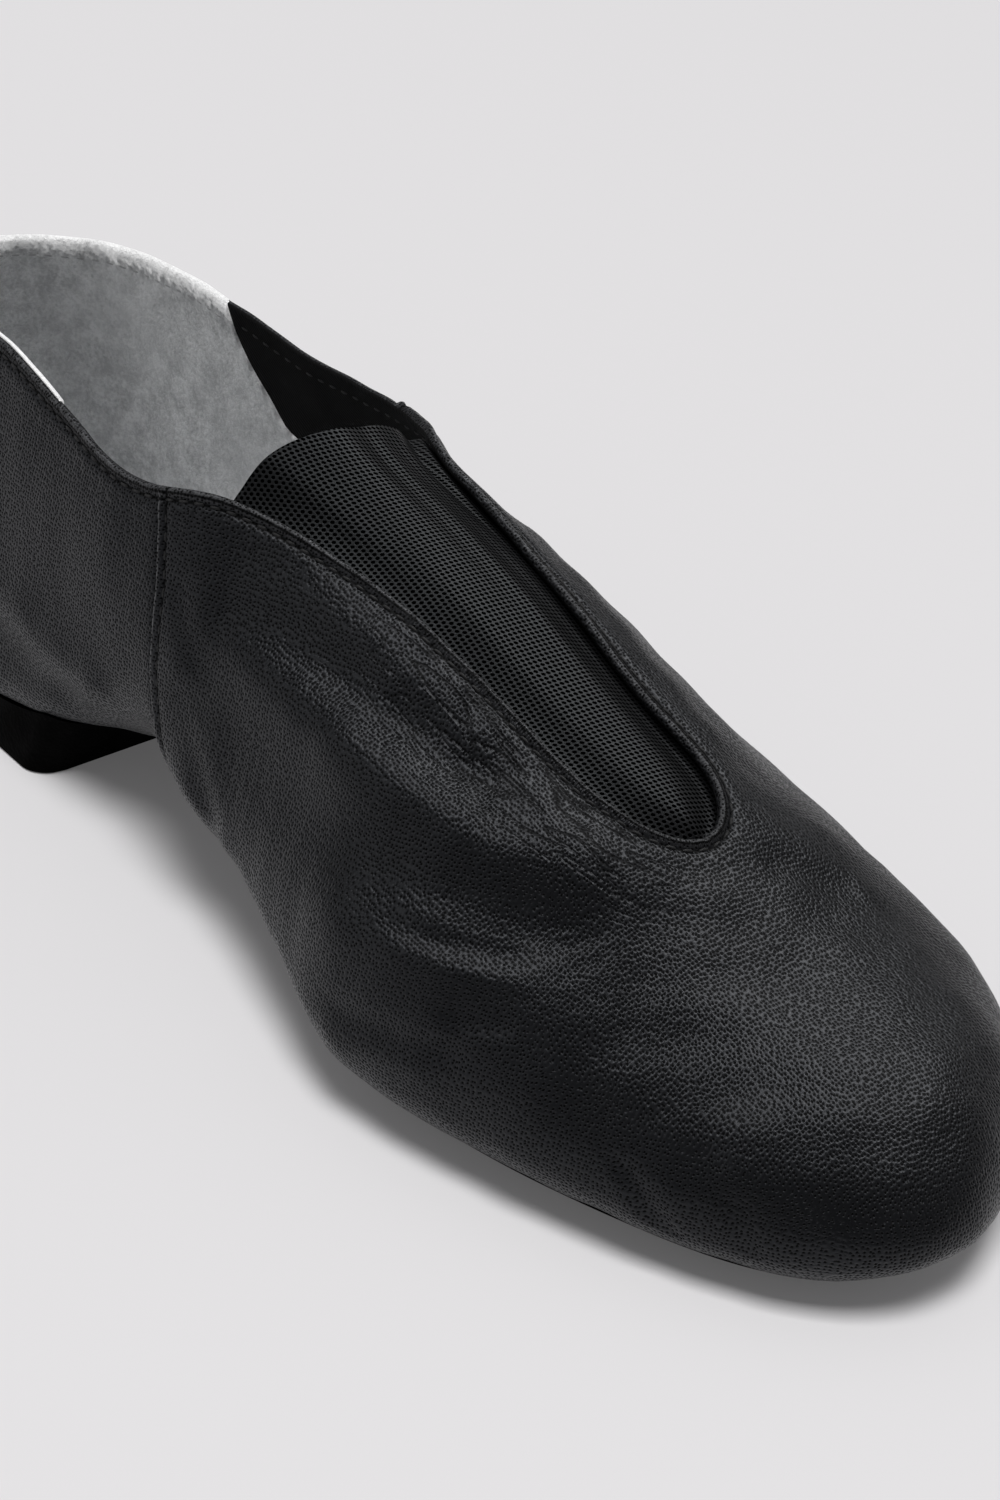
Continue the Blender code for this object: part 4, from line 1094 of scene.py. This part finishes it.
# %% Net of the gore over the instep
GORE_WALL = 1.1 * MM
GORE_BACK = 0.423 * SHOE_LENGTH
GORE_OVERLAP = 7 * MM
GORE_RISE = 1.1 * MM
GORE_DEPTH = UPPER_WALL + 0.40 * MM
GORE_END_GAP = 1.0 * MM
GORE_STATIONS = 150
GORE_ACROSS = 91
GORE_TRACE = 241
CORNER_BACK = 2.4 * MM
CORNER_BACK_REACH = 14 * MM

stations = GORE_BACK + (THROAT_END + GORE_OVERLAP - GORE_END_GAP - GORE_BACK) * np.sin(
    np.linspace(0, math.pi / 2, GORE_STATIONS))
sheet, inside, spread_mm = [], [], []
for x in stations:
    past = np.clip((x - (THROAT_END - THROAT_ROUND)) / (THROAT_ROUND + GORE_OVERLAP), 0, 1)
    half = throat_half(x)
    grow = (throat_side(x) + GORE_OVERLAP) * math.sqrt(1 - past ** 2) - half
    axis = throat_axis(x)
    y = np.linspace(axis - half - 2 * GORE_OVERLAP, axis + half + 2 * GORE_OVERLAP, GORE_TRACE)
    outward = smoothstep(0.2 + (axis - y) / half)
    line_x = x - CORNER_BACK * outward * math.exp(-((x - GORE_BACK) / CORNER_BACK_REACH) ** 2)
    line = np.stack([line_x, y, last_height(line_x, y, True)], -1)
    left, right = np.interp([axis - half, axis + half], y, run_of(line))
    spread = np.linspace(left - grow, right + grow, GORE_ACROSS)
    sheet.append(resample(line, spread))
    inside.append(np.minimum(spread - left, right - spread))
    spread_mm.append((spread - (left + right) / 2) / MM)
sheet, inside, spread_mm = np.array(sheet), np.array(inside), np.array(spread_mm)
print("net of the gore:", sheet.shape[:2])

# %% Build the gore with its waves
LONG_WAVES_FADE = 40.0
FAR_CORNER_DIP = 1.5
FAR_CORNER_REACH = 16.0

gore_out = -normals(sheet, closed=False)
from_back = ((stations - GORE_BACK) / MM)[:, None]
far_half = smoothstep((spread_mm + 1.0) / 7.0) * smoothstep(inside / (2.5 * MM))
long_wave = np.sin(spread_mm * 1.15 + 0.035 * from_back + 0.6 * np.sin(from_back / 14.0))
small_wave = np.sin(from_back / 3.1 + spread_mm * 0.35) * smoothstep((spread_mm - 4.0) / 5.0)
waves = 0.26 * long_wave * np.exp(-from_back / LONG_WAVES_FADE) + 0.06 * small_wave
waves = waves * far_half * smoothstep(from_back / 7.0)
waves -= FAR_CORNER_DIP * far_half * np.exp(-(from_back / FAR_CORNER_REACH) ** 2)
waves += 0.22 * np.sin(from_back / 9.0 + 0.25 * spread_mm) * smoothstep(inside / (4 * MM))
depth = GORE_DEPTH - GORE_RISE * smoothstep((inside - WALL_MIDDLE) / GORE_OVERLAP) - waves * MM
gore_top = sheet - depth[..., None] * gore_out
gore = plate("gore_knit", gore_top, gore_top - GORE_WALL * gore_out,
             np.stack(np.broadcast_arrays(from_back, spread_mm), -1), [knit], sharp=60)
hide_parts("elastic_gore")

# %% [markdown]
# ## The sock
# A thin suede sock lies on the turned-in margins of the leather. It carries the same nap as the heel
# lining. It is a plain sheet that follows the underside of the last.

# %% Build the sock
SOCK_WALL = 1.6 * MM
SOCK_STATIONS = 130
SOCK_ACROSS = 41
SOCK_CLEAR_OF_EDGE = 60
INSOLE_EDGE = table("at inset", (0.00, 0.085), (0.22, 0.095), (0.30, 0.150), (0.45, 0.190), (0.55, 0.190),
                    (0.64, 0.175), (0.74, 0.130), (1.00, 0.140))
END_CLEARANCE = 0.4 * MM


def tips(first, last, number):
    """Stations that draw together towards both ends."""
    even = np.linspace(0, 1, number)
    drawn = (1 - np.cos(math.pi * even)) / 2
    return first + (last - first) * (even + drawn) / 2


def strip(stations, inset, across, cut=1.0):
    """Grid in plan over the stations, as wide as the last less an inset, or a share of that."""
    outer_y, inner_y = [LAST["centre"](stations) + side * cut * plan_half(stations, side, inset)
                        for side in (-1, 1)]
    y = outer_y[:, None] + (inner_y - outer_y)[:, None] * tips(0.0, 1.0, across)[None, :]
    x = np.broadcast_to(stations[:, None], y.shape)
    return x, y, np.stack([x, y, last_height(x, y, False)], -1)


inset = over_length(INSOLE_EDGE, lambda row: row.inset * BALL_WIDTH)
stations = tips(float(inset(0.0)) + END_CLEARANCE, SHOE_LENGTH - float(inset(SHOE_LENGTH)) - END_CLEARANCE,
                SOCK_STATIONS)
x, y, under = strip(stations, inset(stations), SOCK_ACROSS)
rise = -normals(under, closed=False)
sock_bottom = under + (UPPER_WALL + SEAT_GAP) * rise
sock = plate("suede_sock", sock_bottom + SOCK_WALL * rise, sock_bottom,
             np.stack([x / MM, SOCK_CLEAR_OF_EDGE + y / MM], -1), [suede], sharp=60)
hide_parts("insole")

# %% [markdown]
# ## The sole patch and the heel pad
# A split sole has two separate pieces of rubber, so that the arch can bend: a patch under the ball and a
# pad under the heel whose front, the breast, leans. Both follow the last above and are flat below. Their
# lower edges are rounded by rings of points, as a mould would leave them. The tread is a bump of fine
# crossed grooves where the rubber faces down, a little paler there because it is walked on.

# %% Black moulded rubber
TREAD_TURNS = 2.4
rubber, shader, spot, flat, along_mm, across_mm = material(
    "moulded_rubber", (0.002, 0.002, 0.002), 0.8, Specular_IOR_Level=0.02)
pebble = node("TexVoronoi", Vector=spot, Scale=1400.0, Smoothness=0.4, feature="SMOOTH_F1")
slant = TREAD_TURNS * math.cos(math.radians(45))
grooves = most(*[ranged(maths("SINE", along_mm * slant + across_mm * turn), 0.5, 0.9)
                 for turn in (slant, -slant)])
downward = ranged(split(facing(spot, "True Normal"))[2], -0.8, -0.95)
dust = blend_colour(ranged(noise(spot, 60.0, 4.0, 0.6), 0.45, 0.8), (0.0005, 0.0005, 0.0005),
                    (0.0018, 0.0018, 0.0018))
walked_on = blend_colour(grooves, (0.022, 0.022, 0.023), (0.006, 0.006, 0.006))
put_all(shader, dict(Normal=bump(pebble * 0.5 - grooves * downward * 2.2, 0.2 * MM, 0.8),
                     Base_Color=blend_colour(downward, dust, walked_on),
                     Roughness=ranged(noise(spot, 180.0), 0.3, 0.7, 0.68, 0.85),
                     Specular_IOR_Level=ranged(downward, 0.0, 1.0, 0.02, 0.3)))

# %% Build the sole patch
SOLE_BACK = 0.569 * SHOE_LENGTH
SOLE_INSET = 11 * MM
SOLE_EDGE = 3.2 * MM
SOLE_CORNER = 16 * MM
SOLE_CORNER_CUT = 0.55
EDGE_RADIUS = 0.6 * MM
EDGE_TURNS = np.radians([25, 50, 75])
BLOCK_STATIONS = 90
BLOCK_ACROSS = 61


def corner(distance, radius, cut):
    """Share of the half width that a rounded corner leaves, by the distance from a plate's straight end."""
    past = np.clip(1 - distance / radius, 0, 1)
    return 1 - cut * (1 - np.sqrt(1 - past ** 2))


def edge_points(grid):
    """Points round the edge of a grid, in the order of its rim."""
    return grid.reshape(-1, 3)[rim(*grid.shape[:2])]


stations = tips(SOLE_BACK, SHOE_LENGTH - SOLE_INSET - END_CLEARANCE, BLOCK_STATIONS)
cut = corner(stations - SOLE_BACK, SOLE_CORNER, SOLE_CORNER_CUT)
x, y, top = strip(stations, SOLE_INSET, BLOCK_ACROSS, cut)
top += SEAT_GAP * normals(top, closed=False)
bottom = top.copy()
bottom[..., 2] = np.maximum(top[..., 2] - SOLE_EDGE, 0.0)
middle = np.array([np.mean(x), np.mean(y), 0.0])
inward = (middle - edge_points(bottom)) * [1, 1, 0]
inward /= np.linalg.norm(inward, axis=1, keepdims=True)
rings = [edge_points(bottom) + EDGE_RADIUS * (1 - math.sin(t)) * np.array([0, 0, 1.0])
         + EDGE_RADIUS * (1 - math.cos(t)) * inward for t in EDGE_TURNS]
shrunk = bottom + (middle - bottom) * [1, 1, 0] * (EDGE_RADIUS / (BALL_WIDTH / 2))
patch = plate("sole_patch", top, shrunk, np.stack([x / MM, y / MM], -1), [rubber], sides=rings, sharp=35)
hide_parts("forefoot_sole")

# %% Build the heel pad
PAD_INSET = 2.6 * MM
PAD_TAPER = 0.8 * MM
PAD_FRONT = 0.301 * SHOE_LENGTH
PAD_CORNER = 5 * MM
PAD_CORNER_CUT = 0.22
BREAST_LEAN = 4.5 * MM
EDGE_ROUND = 0.7 * MM

stations = tips(PAD_INSET + END_CLEARANCE, PAD_FRONT, BLOCK_STATIONS)
cut = corner(PAD_FRONT - stations, PAD_CORNER, PAD_CORNER_CUT)
x, y, top = strip(stations, PAD_INSET, BLOCK_ACROSS, cut)
top += SEAT_GAP * normals(top, closed=False)
lean = BREAST_LEAN * smoothstep((x - HEEL_CENTRE) / (PAD_FRONT - HEEL_CENTRE))
pad_middle = LAST["centre"](HEEL_CENTRE)


def lowered(moved_in, height):
    """Outline of the pad at a lower height, moved in all round."""
    share = 1 - moved_in / (HEEL_WIDTH / 2)
    low_x = HEEL_CENTRE + (x - lean - HEEL_CENTRE) * share
    return np.stack([low_x, pad_middle + (y - pad_middle) * share, np.full_like(x, height)], -1)


skirt = [edge_points(lowered(PAD_TAPER + EDGE_ROUND * (1 - math.cos(t)), EDGE_ROUND * (1 - math.sin(t))))
         for t in np.radians([0, 22, 45, 68])]
pad = plate("heel_pad_rubber", top, lowered(PAD_TAPER + EDGE_ROUND, 0.0), np.stack([x / MM, y / MM], -1),
            [rubber], sides=skirt, sharp=35)
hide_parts("heel_pad")

# %% [markdown]
# ## The studio
# The shoe stands on a plain pale floor in soft light. In a studio, flags keep each lamp off what it should
# not light, and light linking does that here. One soft box lights only the floor, from high on the
# camera's side, so that the shadow falls behind the shoe and stays narrow. The others light only the shoe:
# the one behind draws the long sheen on the leather, the one at the left shows the folds, a weak one in
# front lifts the near side, and one lights only the lining, as a reflector held over the opening would.
# A dim even sky and a slight glow of the floor fill the shadows.

# %% Floor
FLOOR_SIZE = 12.0
floor_paint, shader, spot, *_ = material("pale_floor", (0.72, 0.71, 0.72), 0.9, Specular_IOR_Level=0.05,
                                         Emission_Color=(1.0, 0.99, 1.0), Emission_Strength=0.075)
put_all(shader, dict(Normal=bump(noise(spot, 900.0), 0.02 * MM, 0.3)))
half = FLOOR_SIZE / 2
mesh = bpy.data.meshes.new("floor")
mesh.from_pydata([(-half, -half, 0), (half, -half, 0), (half, half, 0), (-half, half, 0)], [], [(0, 1, 2, 3)])
mesh.materials.append(floor_paint)
floor = bpy.data.objects.new("floor", mesh)
bpy.context.scene.collection.objects.link(floor)

# %% Lights
SOFT_BOXES = table(
    "name lights place aim size power",
    ("overhead", "floor", (2.60, -2.60, 8.50), (0.09, 0.0, 0.02), 3.2, 735.0),
    ("back", "shoe", (-0.50, 3.30, 5.00), (0.09, 0.0, 0.02), 3.4, 200.0),
    ("left", "shoe", (-1.70, -0.80, 5.60), (0.09, 0.0, 0.03), 3.0, 145.0),
    ("front", "shoe", (-2.60, -4.20, 2.60), (0.09, 0.0, 0.03), 3.0, 30.0),
    ("reflector", "lining", (-2.60, -3.60, 3.60), (0.05, 0.0, 0.05), 2.0, 22.0))
SKY_STRENGTH = 0.20

lit = {name: bpy.data.collections.new("lit_" + name) for name in ("floor", "shoe", "lining")}
lit["lining"].objects.link(heel_lining)
for thing in bpy.context.scene.objects:
    if thing.type == "MESH":
        lit["floor" if thing == floor else "shoe"].objects.link(thing)
for box in SOFT_BOXES:
    light = bpy.data.lights.new(box.name, "AREA")
    light.shape = "SQUARE"
    light.size = box.size
    light.energy = box.power
    made = bpy.data.objects.new(box.name, light)
    away = Vector(box.place) - Vector(box.aim)
    made.matrix_world = Matrix.Translation(box.place) @ away.to_track_quat("Z", "Y").to_matrix().to_4x4()
    made.light_linking.receiver_collection = lit[box.lights]
    bpy.context.scene.collection.objects.link(made)
world = bpy.data.worlds.new("sky")
world.use_nodes = True
put_all(world.node_tree.nodes["Background"], dict(Color=(1.0, 0.99, 1.0), Strength=SKY_STRENGTH))
bpy.context.scene.world = world
bpy.context.scene.view_settings.view_transform = "Standard"
print("lights:", len(SOFT_BOXES))
